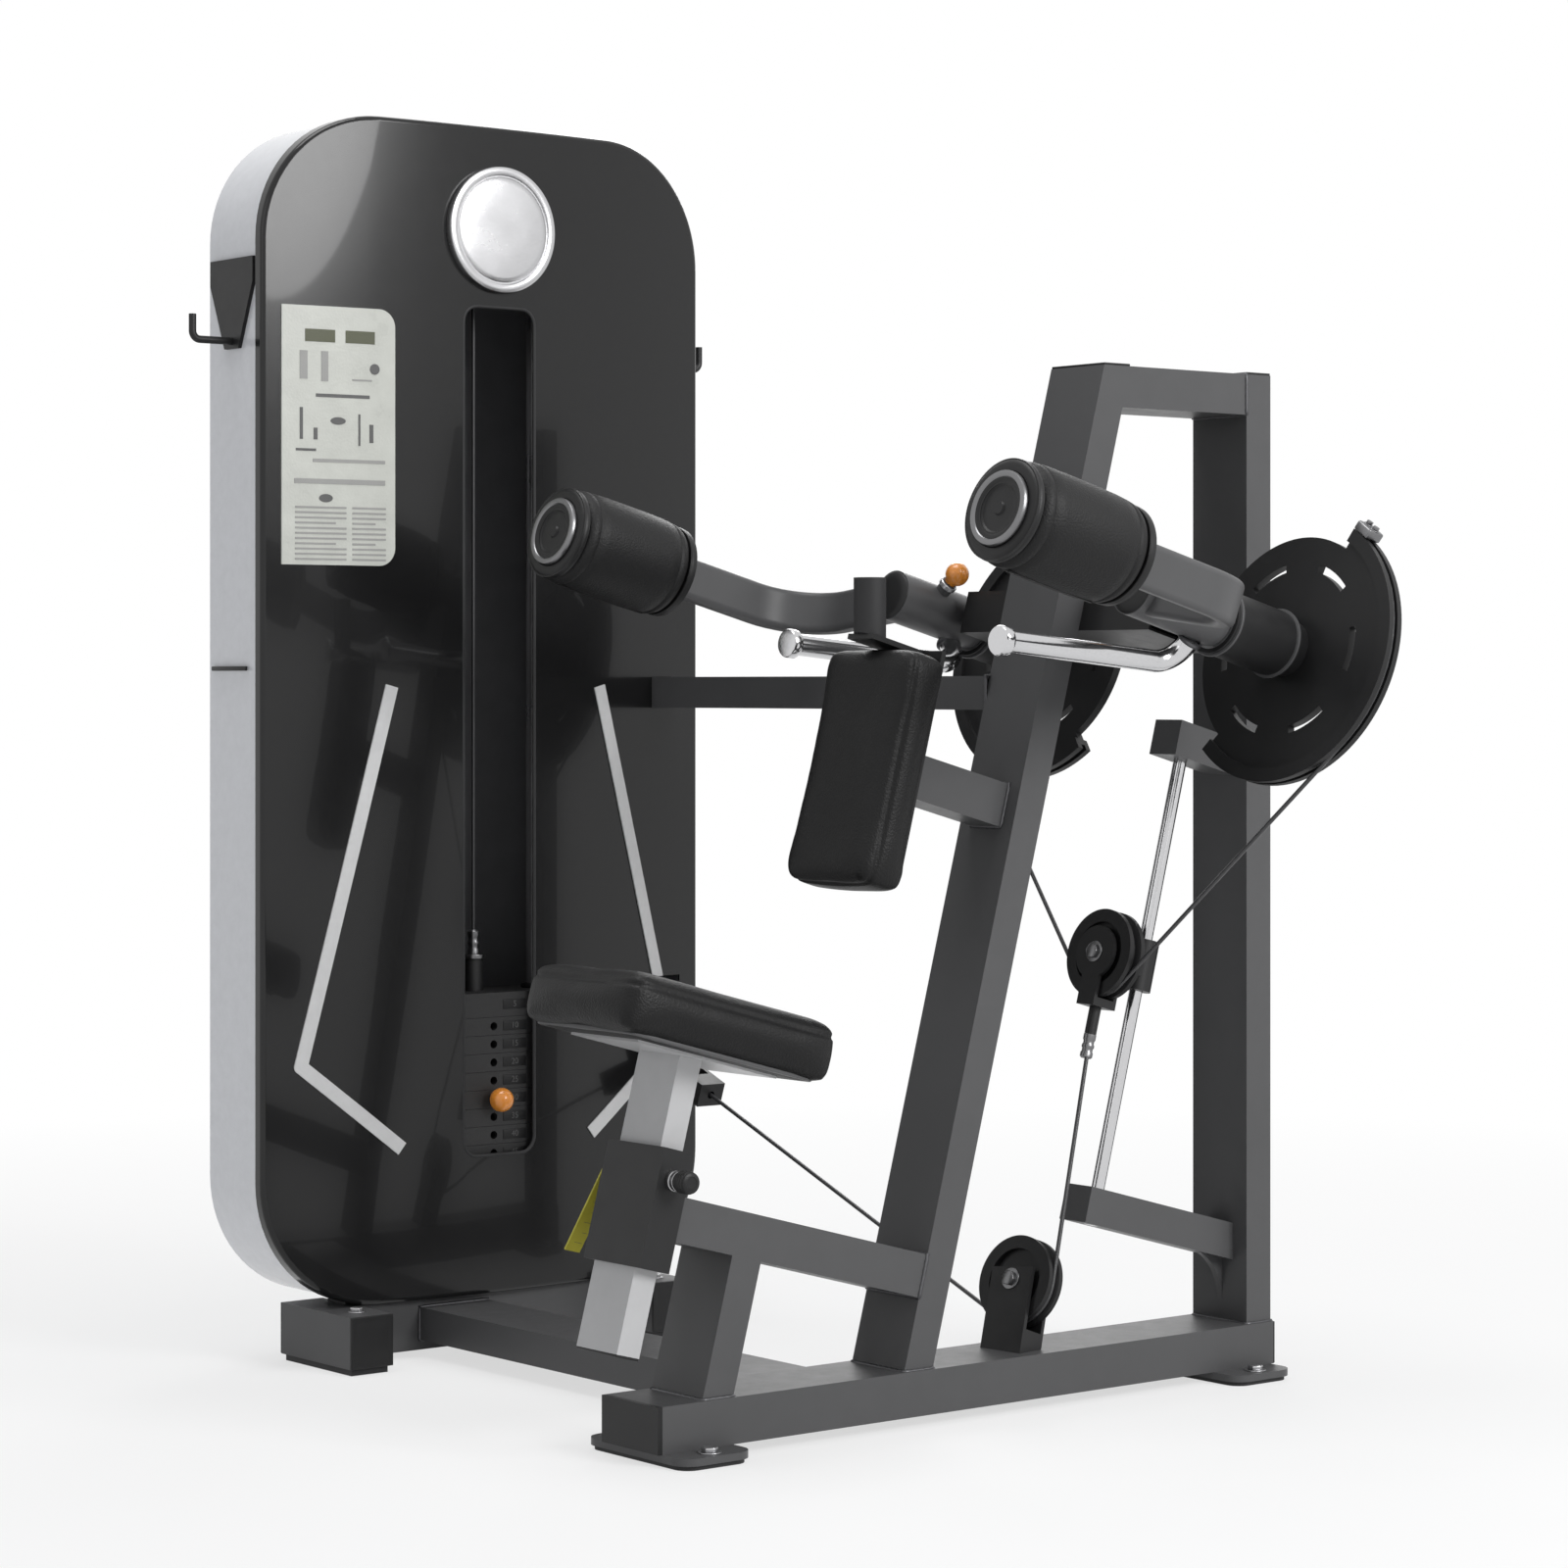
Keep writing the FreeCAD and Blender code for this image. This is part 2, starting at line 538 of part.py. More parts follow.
def round_tube(radius, points, radii):
    edges = bent_path(points, radii)
    return swept(round_section(radius, points[0], points[1] - points[0]), edges)


def arm_side(side):
    """Where one arm's pivot is and how its plane of roller and pivot is turned."""
    pivot = Vector(0, side * size["pivot_y"], size["pivot_v"])
    drop = math.radians(size["arm_drop"])
    outward = Vector(0, side * math.cos(drop), -math.sin(drop))
    return pivot, outward


def arm(side, name):
    """The turning hub, the bent flat bar, the roller's axle and the start pin's boss."""
    pivot, outward = arm_side(side)
    hub_back = size["housing_front"] - size["running_gap"]
    hub_front = hub_back - size["hub_length"]
    forward = Vector(1, 0, 0)
    hub = Part.makeCylinder(size["hub_radius"], size["hub_length"], pivot + forward * hub_front, forward)
    bar_start = size["roller_front"] + size["roller_length"] + 2 * size["flange_thick"] + size["running_gap"]
    reach = outward * size["arm_reach"]
    points = [pivot + reach + forward * bar_start, pivot + reach + forward * size["arm_cross"],
              pivot + forward * size["arm_cross"] + outward * size["shaft_radius"]]
    across = forward.cross(outward)
    corners = []
    for along_out, along_up in ((-1, -1), (1, -1), (1, 1), (-1, 1)):
        corners.append(points[0] + outward * (along_out * size["arm_thick"] / 2)
                       + across * (along_up * size["arm_height"] / 2))
    section = Part.Wire(soft_outline(corners, size["arm_corner"]))
    flat = swept(section, bent_path(points, [size["arm_bend"]]))
    axle_start = pivot + reach + forward * (size["roller_front"] + size["flange_thick"])
    axle_length = bar_start - axle_start.x + size["arm_thick"]
    axle = Part.makeCylinder(size["axle_radius"], axle_length, axle_start, forward)
    tilt = math.radians(size["start_pin_tilt"])
    radial = Vector(0, -side * math.sin(tilt), math.cos(tilt))
    foot = pivot + forward * size["start_pin_u"]
    boss_length = size["hub_radius"] + size["start_boss_length"]
    boss = Part.makeCylinder(size["start_boss_radius"], boss_length, foot, radial)
    bore = Part.makeCylinder(size["shaft_radius"], size["hub_length"] + 2 * size["overrun"],
                             pivot + forward * (hub_front - size["overrun"]), forward)
    pin_way = Part.makeCylinder(size["start_pin_radius"] + size["fit_gap"],
                                2 * size["hub_radius"] + size["roller_radius"], foot, radial)
    solid = hub.fuse([flat, axle, boss]).cut(bore.fuse(pin_way))
    node(shape(solid, Placement(NOWHERE, LEAN)), name)


def soft_outline(corners, radius):
    """A closed outline through four corners with quarter rounds."""
    edges = []
    count = len(corners)
    for i in range(count):
        here, before, after = corners[i], corners[i - 1], corners[(i + 1) % count]
        back, ahead = (before - here).normalize(), (after - here).normalize()
        first, last = here + back * radius, here + ahead * radius
        middle = here + (back + ahead).normalize() * radius * (math.sqrt(2) - 1)
        edges.append(Part.Arc(first, middle, last).toShape())
        edges.append(Part.LineSegment(last, after + (here - after).normalize() * radius).toShape())
    return edges


def start_pin(side, name):
    """The ball-headed pin that locks the arm's hub to its shaft."""
    pivot = arm_side(side)[0]
    tilt = math.radians(size["start_pin_tilt"])
    radial = Vector(0, -side * math.sin(tilt), math.cos(tilt))
    foot = pivot + Vector(1, 0, 0) * size["start_pin_u"]
    first = size["shaft_radius"] + size["running_gap"]
    length = size["hub_radius"] + size["start_boss_length"] + size["start_pin_stem"] - first
    stem = Part.makeCylinder(size["start_pin_radius"], length, foot + radial * first, radial)
    knob = Part.makeSphere(size["start_knob_radius"], foot + radial * (first + length))
    node(shape(stem.fuse(knob), Placement(NOWHERE, LEAN)), name)


def handle(side, name):
    """The chrome hand grip that hangs from the hub and points to the user, with an end cap."""
    inboard = side * size["handle_y"]
    under_hub = size["pivot_v"] - size["hub_radius"] + size["running_gap"]
    points = [Vector(size["handle_u"], side * size["pivot_y"], under_hub),
              Vector(size["handle_u"], inboard, size["handle_v"]),
              Vector(size["handle_end_u"], inboard, size["handle_end_v"])]
    tube_form = round_tube(size["handle_radius"], points, [size["handle_bend"]])
    away = (points[2] - points[1]).normalize()
    cap = Part.makeCylinder(size["handle_cap_radius"], size["handle_cap_length"], points[2], away)
    pivot = arm_side(side)[0]
    length = size["hub_length"]
    hub = Part.makeCylinder(size["hub_radius"], 2 * length, pivot - ALONG_X * (2 * length), ALONG_X)
    node(shape(tube_form.fuse(cap).cut(hub), Placement(NOWHERE, LEAN)), name)


def roller(side, word):
    """The foam roller and the core that turns with it on the arm's axle."""
    pivot, outward = arm_side(side)
    forward = Vector(1, 0, 0)
    front = pivot + outward * size["arm_reach"] + forward * size["roller_front"]
    flange = size["flange_thick"]
    length = size["roller_length"]
    core = Part.makeCylinder(size["core_radius"], length + 2 * flange, front, forward)
    for start in (0, length + flange):
        core = core.fuse(Part.makeCylinder(size["flange_radius"], flange, front + forward * start, forward))
    ring_front, ring_thick = front - forward * size["ring_thick"], size["ring_thick"]
    ring = Part.makeCylinder(size["ring_radius"], ring_thick, ring_front, forward)
    eye = Part.makeCylinder(size["ring_hole_radius"], ring_thick, ring_front, forward)
    bore = Part.makeCylinder(size["axle_radius"] + size["fit_gap"], 2 * length,
                             front + forward * (flange - size["running_gap"]), forward)
    core = core.fuse(ring).cut(eye).cut(bore)
    node(shape(core, Placement(NOWHERE, LEAN)), word + "_roller_core")
    foam = soft_roll(front + forward * flange, length)
    node(shape(foam, Placement(NOWHERE, LEAN)), word + "_roller")


def soft_roll(start, length):
    """A foam roll with rounded ends, turned from its half section."""
    inner, outer = size["core_radius"], size["roller_radius"]
    soft = size["flange_thick"]
    bend = soft * (1 - math.sqrt(0.5))
    low, rise, front_bend, on, off, back_bend, fall, end = (start + Vector(x, y, 0) for x, y in (
        (0, inner), (0, outer - soft), (bend, outer - bend), (soft, outer), (length - soft, outer),
        (length - bend, outer - bend), (length, outer - soft), (length, inner)))
    edges = [Part.LineSegment(low, rise).toShape(), Part.Arc(rise, front_bend, on).toShape(),
             Part.LineSegment(on, off).toShape(), Part.Arc(off, back_bend, fall).toShape(),
             Part.LineSegment(fall, end).toShape(), Part.LineSegment(end, low).toShape()]
    return Part.Face(Part.Wire(edges)).revolve(start, ALONG_X, 360)


def ring_sector(inner, outer, first, last, thick, low):
    """A flat ring sector about the Z axis, first and last in degrees from X."""
    def at(radius, degrees):
        turn = math.radians(degrees)
        return Vector(radius * math.cos(turn), radius * math.sin(turn), low)
    middle = (first + last) / 2
    edges = [Part.Arc(at(outer, first), at(outer, middle), at(outer, last)).toShape(),
             Part.LineSegment(at(outer, last), at(inner, last)).toShape(),
             Part.Arc(at(inner, last), at(inner, middle), at(inner, first)).toShape(),
             Part.LineSegment(at(inner, first), at(outer, first)).toShape()]
    return Part.Face(Part.Wire(edges)).extrude(Vector(0, 0, thick))


def cam(side, name):
    """The slotted disc with a grooved rim sector, its hub and the shaft that carries it."""
    thick = size["cam_thick"]
    low = -thick / 2
    first, last = size["rim_from"], size["rim_to"]
    disc = Part.makeCylinder(size["cam_radius"], thick, Vector(0, 0, low))
    web = ring_sector(size["slot_circle"], size["rim_floor"], first, last, thick, low)
    rim_thick = size["rim_thick"]
    rim = ring_sector(size["rim_inner"], size["rim_outer"], first, last, rim_thick, -rim_thick / 2)
    groove = ring_sector(size["rim_floor"], size["rim_outer"] + size["overrun"], first - size["overrun"],
                         last + size["overrun"], size["rim_groove"], -size["rim_groove"] / 2)
    hub_length = size["cam_hub_length"]
    hub = Part.makeCylinder(size["cam_hub_radius"], hub_length, Vector(0, 0, -hub_length / 2))
    solid = disc.fuse([web, hub]).fuse(rim.cut(groove))
    count = int(size["slot_count"])
    for i in range(count):
        turn = 360 * i / count
        wide, half_width = size["slot_half_angle"], size["slot_width"] / 2
        slot = ring_sector(size["slot_circle"] - half_width, size["slot_circle"] + half_width,
                           turn - wide, turn + wide, thick + 2 * size["overrun"], low - size["overrun"])
        solid = solid.cut(slot)
    pivot = arm_side(side)[0]
    # The cam's own X points outboard and its own Y up
    facing = Rotation(Vector(0, side, 0), Vector(0, 0, 1), Vector(side, 0, 0), "XYZ")
    solid.Placement = Placement(pivot + Vector(size["cam_u"], 0, 0), facing)
    hub_front = size["housing_front"] - size["running_gap"] - size["hub_length"]
    length = size["cam_u"] + size["cam_hub_length"] / 2 + size["running_gap"] - hub_front
    shaft = Part.makeCylinder(size["shaft_radius"], length, pivot + Vector(hub_front, 0, 0), Vector(1, 0, 0))
    node(shape(solid.fuse(shaft), Placement(NOWHERE, LEAN)), name)


def wheel_form():
    """A grooved wheel about Z, turned from its half section."""
    half, rim = size["wheel_thick"] / 2, size["wheel_radius"]
    bore, hub = size["wheel_axle_radius"] + size["fit_gap"], size["wheel_hub_radius"]
    groove = size["wheel_groove"]
    web, rim_inside = half / 2, groove - size["wheel_axle_radius"]
    seat = size["cable_radius"] + size["running_gap"]
    section = [(bore, half), (hub, half), (hub, web), (rim_inside, web), (rim_inside, half), (rim, half),
               (rim, half / 2), (groove, seat)]
    points = [Vector(r, 0, z) for r, z in section] + [Vector(r, 0, -z) for r, z in reversed(section)]
    face = Part.Face(Part.makePolygon(points + points[:1]))
    return face.revolve(NOWHERE, UP, 360)


CABLE_TURN = size["wheel_groove"] + size["cable_radius"] + size["running_gap"]
CABLE_ON_CAM = size["rim_floor"] + size["cable_radius"] + size["running_gap"]


def turn_at(before, corner, after):
    """The wheel that a cable turns round at a corner: X along the cable, Z along the axle."""
    incoming, ahead = (corner - before).normalize(), (after - corner).normalize()
    inward = (ahead - incoming * ahead.dot(incoming)).normalize()
    half = incoming.getAngle(ahead) / 2
    centre = corner - incoming * (CABLE_TURN * math.tan(half)) + inward * CABLE_TURN
    return Placement(centre, Rotation(incoming, inward, incoming.cross(inward), "XYZ"))


CLAMP_DROP = size["wheel_radius"] + size["running_gap"] + 2 * size["cage_thick"] + size["clamp_length"]
LIFT_ROUTE = [from_leaned(size["cam_u"], 0, size["float_v"] - CLAMP_DROP - 2 * size["running_gap"]),
              Vector(size["low_corner_x"], size["low_corner_y"], size["low_corner_z"]),
              Vector(size["rise_x"], size["frame_y"], size["rise_z"]),
              Vector(size["rise_x"], size["frame_y"], size["cable_top"]),
              Vector(size["tower_x"], size["frame_y"], size["cable_top"]),
              Vector(size["tower_x"], size["frame_y"], size["stack_low"])]
WHEELS = {"lower_wheel": turn_at(*LIFT_ROUTE[0:3]), "entry_wheel": turn_at(*LIFT_ROUTE[1:4]),
          "top_wheel_outer": turn_at(*LIFT_ROUTE[2:5]), "top_wheel_inner": turn_at(*LIFT_ROUTE[3:6])}


def local_block(x_low, x_high, y_low, y_high, z_low, z_high):
    return Part.makeBox(x_high - x_low, y_high - y_low, z_high - z_low, Vector(x_low, y_low, z_low))


def wheel_cheeks(x_low, x_high, y_low, y_high):
    """Two cheek plates and the axle between them, in a wheel's own frame."""
    outer = size["cage_width"] / 2
    thick = size["cage_thick"]
    plates = local_block(x_low, x_high, y_low, y_high, -outer, outer)
    gap = local_block(x_low - thick, x_high + thick, y_low - thick, y_high + thick,
                      thick - outer, outer - thick)
    axle = Part.makeCylinder(size["wheel_axle_radius"], size["cage_width"], Vector(0, 0, -outer))
    return plates.cut(gap).fuse(axle)


def wheels_and_brackets():
    """Every fixed wheel on the lift cable's way, and the stand or bracket that holds it."""
    for name, place in WHEELS.items():
        node(shape(wheel_form(), place), name)
    outer, thick, half_stand = size["cage_width"] / 2, size["cage_thick"], size["stand_width"] / 2
    rail_top = size["foot_thick"] + size["plate_thick"] + size["rail_height"]
    reach = 2 * size["wheel_radius"] + size["rail_height"]

    stand = wheel_cheeks(-size["wheel_hub_radius"], reach, -half_stand, half_stand)
    bridge = local_block(size["wheel_radius"] + thick, reach, -half_stand, half_stand, -outer, outer)
    stand = stand.fuse(bridge)
    stand.Placement = WHEELS["lower_wheel"]
    span = size["rail_length"]
    under = Part.makeBox(span, span, span, Vector(-span / 2, -span / 2, rail_top - span))
    stand = stand.cut(under)

    nose, nose_half = size["entry_nose"], size["entry_nose_size"] / 2
    cable_y = -CABLE_TURN
    hub = size["wheel_hub_radius"]
    entry = wheel_cheeks(-nose, hub, cable_y - nose_half, hub)
    corner_off = local_block(-nose - thick, -size["wheel_radius"] - thick, cable_y + nose_half, hub + thick,
                             -reach, reach)
    mouth = local_block(-nose, nose_half * 2 - nose, cable_y - nose_half, cable_y + nose_half, -outer, outer)
    way = Part.makeCylinder(2 * size["cable_radius"], nose, Vector(-nose - thick, cable_y, 0), ALONG_X)
    entry = entry.cut(corner_off).fuse(mouth).cut(way)
    entry.Placement = WHEELS["entry_wheel"]
    centre = WHEELS["entry_wheel"].Base
    # The arm to the upright runs behind the cover and meets the cheek within the cover's opening.
    inner_x = size["tower_x"] + size["frame_half"] + size["frame_side"] / 2
    arm_end = size["rise_x"] - outer + thick / 2
    arm_start = size["rise_x"] - outer - size["entry_margin"] / 2
    arm_front = size["tower_front"] + size["cover_bow"] + size["cover_wall"]
    for low_x, low_y in ((inner_x, arm_front), (arm_start, centre.y)):
        entry = entry.fuse(Part.makeBox(arm_end - low_x, size["frame_y"] - low_y, 2 * hub,
                                        Vector(low_x, low_y, centre.z - hub)))

    first, last = WHEELS["top_wheel_inner"].Base, WHEELS["top_wheel_outer"].Base
    low = size["tower_beam_top"]
    top = None
    for place in (size["frame_y"] - outer, size["frame_y"] + outer - thick):
        plate = Part.makeBox(last.x - first.x + 4 * hub, thick, first.z + hub - low,
                             Vector(first.x - 2 * hub, place, low))
        top = plate if top is None else top.fuse(plate)
    for centre in (first, last):
        top = top.fuse(Part.makeCylinder(size["wheel_axle_radius"], size["cage_width"],
                                         centre - Vector(0, outer, 0), ALONG_Y))
    node(shape(Part.makeCompound([stand, entry, top])), "pulley_brackets")


def lift_cable():
    """The cable from the floating wheel's clamp to the last wheel, and its drop to the stack."""
    inner = WHEELS["top_wheel_inner"].Base
    route = LIFT_ROUTE[:4] + [Vector(inner.x, inner.y, size["cable_top"])]
    node(shape(round_tube(size["cable_radius"], route, [CABLE_TURN] * 3)), "lift_cable")
    over = route[-1]
    bend = CABLE_TURN * math.sqrt(0.5)
    down = Vector(size["tower_x"], inner.y, inner.z)
    edges = [Part.Arc(over, Vector(inner.x - bend, inner.y, inner.z + bend), down).toShape(),
             Part.LineSegment(down, Vector(down.x, down.y, stem_top())).toShape()]
    section = round_section(size["cable_radius"], over, Vector(-1, 0, 0))
    node(shape(swept(section, edges)), "drop_cable")


def stem_top():
    count = size["lower_count"] + size["lifted_count"]
    return size["stack_low"] + count * size["stack_step"] + size["head_thick"] + size["stem_above"]


def arm_cable():
    """One cable from cam to cam, under the floating wheel, in the plane of the cams."""
    on_cam = CABLE_ON_CAM
    wheel = Vector(size["cam_u"], 0, size["float_v"])
    halves = {}
    for side in (-1, 1):
        centre = Vector(size["cam_u"], side * size["pivot_y"], size["pivot_v"])
        line = (centre - wheel).normalize()
        lower = Vector(0, side * line.z, -abs(line.y))
        part = -(on_cam - CABLE_TURN) / (centre - wheel).Length
        normal = line * part + lower * math.sqrt(1 - part * part)
        contact = math.degrees(math.asin(normal.z))
        last = size["rim_to"] - math.degrees(size["rim_thick"] / size["rim_floor"])
        on_rim = [centre + Vector(0, side * math.cos(math.radians(a)), math.sin(math.radians(a))) * on_cam
                  for a in (contact, (contact + last) / 2, last)]
        halves[side] = (wheel + normal * CABLE_TURN, on_rim)
    left_foot, left = halves[1]
    right_foot, right = halves[-1]
    edges = [Part.Arc(left[2], left[1], left[0]).toShape(), Part.LineSegment(left[0], left_foot).toShape(),
             Part.Arc(left_foot, wheel - Vector(0, 0, CABLE_TURN), right_foot).toShape(),
             Part.LineSegment(right_foot, right[0]).toShape(),
             Part.Arc(right[0], right[1], right[2]).toShape()]
    section = round_section(size["cable_radius"], left[2], edges[0].tangentAt(edges[0].FirstParameter))
    node(shape(swept(section, edges), Placement(NOWHERE, LEAN)), "arm_cable")


def carriage():
    """The floating wheel, its cage, the slider on the guide rod and the rope clamp."""
    place = Placement(Vector(size["cam_u"], 0, size["float_v"]), Rotation(ALONG_Y, 90))
    node(shape(wheel_form(), Placement(NOWHERE, LEAN).multiply(place)), "float_wheel")
    u, v = size["cam_u"], size["float_v"]
    outer, thick, hub = size["cage_width"] / 2, size["cage_thick"], size["wheel_hub_radius"]
    rim = size["wheel_radius"] + size["running_gap"]
    forward = Vector(1, 0, 0)
    cheeks = []
    for start in (u - outer, u + outer - thick):
        cheeks.append(Part.makeCylinder(size["wheel_groove"] - hub, thick, Vector(start, 0, v), forward))
        cheeks.append(Part.makeBox(thick, 2 * hub, rim + 2 * thick, Vector(start, -hub, v - rim - 2 * thick)))
    axle = Part.makeCylinder(size["wheel_axle_radius"], 2 * outer, Vector(u - outer, 0, v), forward)
    bridge = Part.makeBox(2 * outer, 2 * hub, 2 * thick, Vector(u - outer, -hub, v - rim - 2 * thick))
    clamp = Part.makeCylinder(size["clamp_radius"], size["clamp_length"], Vector(u, 0, v - CLAMP_DROP), UP)
    neck = Part.makeBox(size["rod_u"] - u - outer, 2 * hub, 2 * hub, Vector(u + outer, -hub, v - hub))
    sleeve = Part.makeCylinder(size["slider_radius"], size["slider_length"],
                               Vector(size["rod_u"], 0, v - size["slider_length"] / 2), UP)
    bore = Part.makeCylinder(size["rod_radius"] + size["fit_gap"], 2 * size["slider_length"],
                             Vector(size["rod_u"], 0, v - size["slider_length"]), UP)
    solid = axle.fuse(cheeks + [bridge, clamp, neck, sleeve]).cut(bore)
    node(shape(solid, Placement(NOWHERE, LEAN)), "pulley_carriage")


def rod_and_brackets():
    """The chrome guide rod between two brackets of the rear post, the lower one with a gusset."""
    half_high, half_wide = "bracket_height / 2", "bracket_width / 2"
    behind = block(POST_FRONT, LONG, f"-{LONG}", LONG, f"-{LONG}", LONG)
    brackets = []
    for middle in ("lower_bracket_v", "upper_bracket_v"):
        solid = leaned_block("rod_u - bracket_nose", "rail_length", f"-{half_wide}", half_wide,
                             f"{middle} - {half_high}", f"{middle} + {half_high}")
        hole = leaned_bar("rod_radius", LONG, "rod_u", "0", "0")
        brackets.append(cut(solid, behind, hole))
    low_v = "(lower_bracket_v - bracket_height / 2)"
    web = leaned_block("rod_u", "rail_length", "-gusset_thick / 2", "gusset_thick / 2",
                       f"{low_v} - gusset_size", low_v)
    away = bar("gusset_size", "2 * post_width", "0", "-post_width", "0", ALONG_Y)
    edge_x = f"({POST_FRONT} - gusset_size)"
    curve_z = f"({low_v} / cos(lean) - {edge_x} * tan(lean) - gusset_size)"
    put(away, edge_x, "-post_width", curve_z)
    ahead = block(f"-{LONG}", edge_x, f"-{LONG}", LONG, f"-{LONG}", LONG)
    below = block(f"-{LONG}", LONG, f"-{LONG}", LONG, f"-{LONG}", curve_z)
    gusset = cut(web, behind, away, ahead, below)
    node(group(joined(brackets[0], gusset), brackets[1]), "rod_brackets")

    start = "lower_bracket_v - bracket_height / 2"
    rod = leaned_bar("rod_radius", "upper_bracket_v - lower_bracket_v + bracket_height", "rod_u", "0", start)
    node(rod, "guide_rod")


# How far each shell of the tower lies inside the outline, as text and as a length
COVER_SKIN = ("0", 0.0)
COVER_INSIDE = ("cover_wall", size["cover_wall"])
SHELL_SKIN = ("(cover_wall + running_gap)", size["cover_wall"] + size["running_gap"])
SHELL_INSIDE = ("(2 * cover_wall + running_gap)", 2 * size["cover_wall"] + size["running_gap"])


BOW_RADIUS = "((tower_width * tower_width / 4 + cover_bow * cover_bow) / (2 * cover_bow))"


def bow(beyond):
    """The great upright cylinder that the front cover's face lies on, grown by a length."""
    return bar(f"{BOW_RADIUS} + {beyond}", "tower_high + overrun",
               "tower_x", f"tower_front + {BOW_RADIUS}", "0")


def on_cover(form, thick):
    """A plate just off the bowed cover, cut from a form that reaches through the cover's face."""
    return cut(within(form, bow(thick)), bow("fit_gap"))


def across(edge):
    """True for a straight edge along Y."""
    return len(edge.Vertexes) == 2 and abs(edge.tangentAt(edge.FirstParameter).y) > 0.99


def tower_form(inset, front, back, front_round=0.0):
    """The tower's rounded outline between two depths, drawn in by an inset. A rounded front is bowed too."""
    text, length = inset
    form = block(f"tower_x - tower_width / 2 + {text}", f"tower_x + tower_width / 2 - {text}", front, back,
                 f"tower_low + {text}", f"tower_high - {text}")
    form = rounded(form, size["tower_corner"] - length, across)
    if front_round:
        bowed_back = size["tower_front"] + size["cover_bow"] + size["cover_wall"]
        form = within(form, bow(f"(0 - {text})"))
        form = rounded(form, front_round, lambda edge: edge.BoundBox.YMax < bowed_back)
    return form


def entry_hole():
    """The opening of the front cover round the wheel that the lift cable comes in by."""
    return block("rise_x - cage_width / 2 - entry_margin", "rise_x + cage_width / 2 + entry_margin",
                 "tower_front - overrun", "tower_front + cover_depth + overrun", "entry_low", "entry_high")


def tower_covers():
    """The front cover with its slot, the side shell and the back cover."""
    cover_back = "(tower_front + cover_depth)"
    shell_back = "(tower_front + cover_depth + shell_depth)"
    skin = tower_form(COVER_SKIN, "tower_front", cover_back, size["cover_round"])
    inside = tower_form(COVER_INSIDE, "tower_front + cover_wall", f"{cover_back} + overrun",
                        size["cover_round"] - size["cover_wall"])
    slot = block("tower_x - window_width / 2", "tower_x + window_width / 2", "tower_front - overrun",
                 f"{cover_back} + overrun", "window_low", "window_high")
    slot = rounded(slot, size["window_corner"], across)
    link_half = "(upper_link_size / 2 + running_gap)"
    link_hole = block(f"upper_link_x - {link_half}", f"upper_link_x + {link_half}", "tower_front - overrun",
                      f"{cover_back}", f"upper_link_z - {link_half}", f"upper_link_z + {link_half}")
    cable_hole = entry_hole()
    frame_reach = "(frame_half + frame_side / 2 + running_gap)"
    frame_depth = "(frame_side / 2 + overrun)"
    foot_hole = block(f"tower_x - {frame_reach}", f"tower_x + {frame_reach}", f"frame_y - {frame_depth}",
                      f"frame_y + {frame_depth}", "tower_low - overrun", "tower_low + bumper_radius")
    node(cut(skin, inside, slot, link_hole, cable_hole, foot_hole), "front_cover")

    skin = tower_form(SHELL_SKIN, f"{cover_back} - shell_tuck", shell_back)
    inside = tower_form(SHELL_INSIDE, f"{cover_back} - shell_tuck - overrun", f"{shell_back} + overrun")
    node(cut(skin, inside, foot_hole), "side_shell")
    node(tower_form(SHELL_SKIN, shell_back, f"{shell_back} + back_thick"), "back_cover")


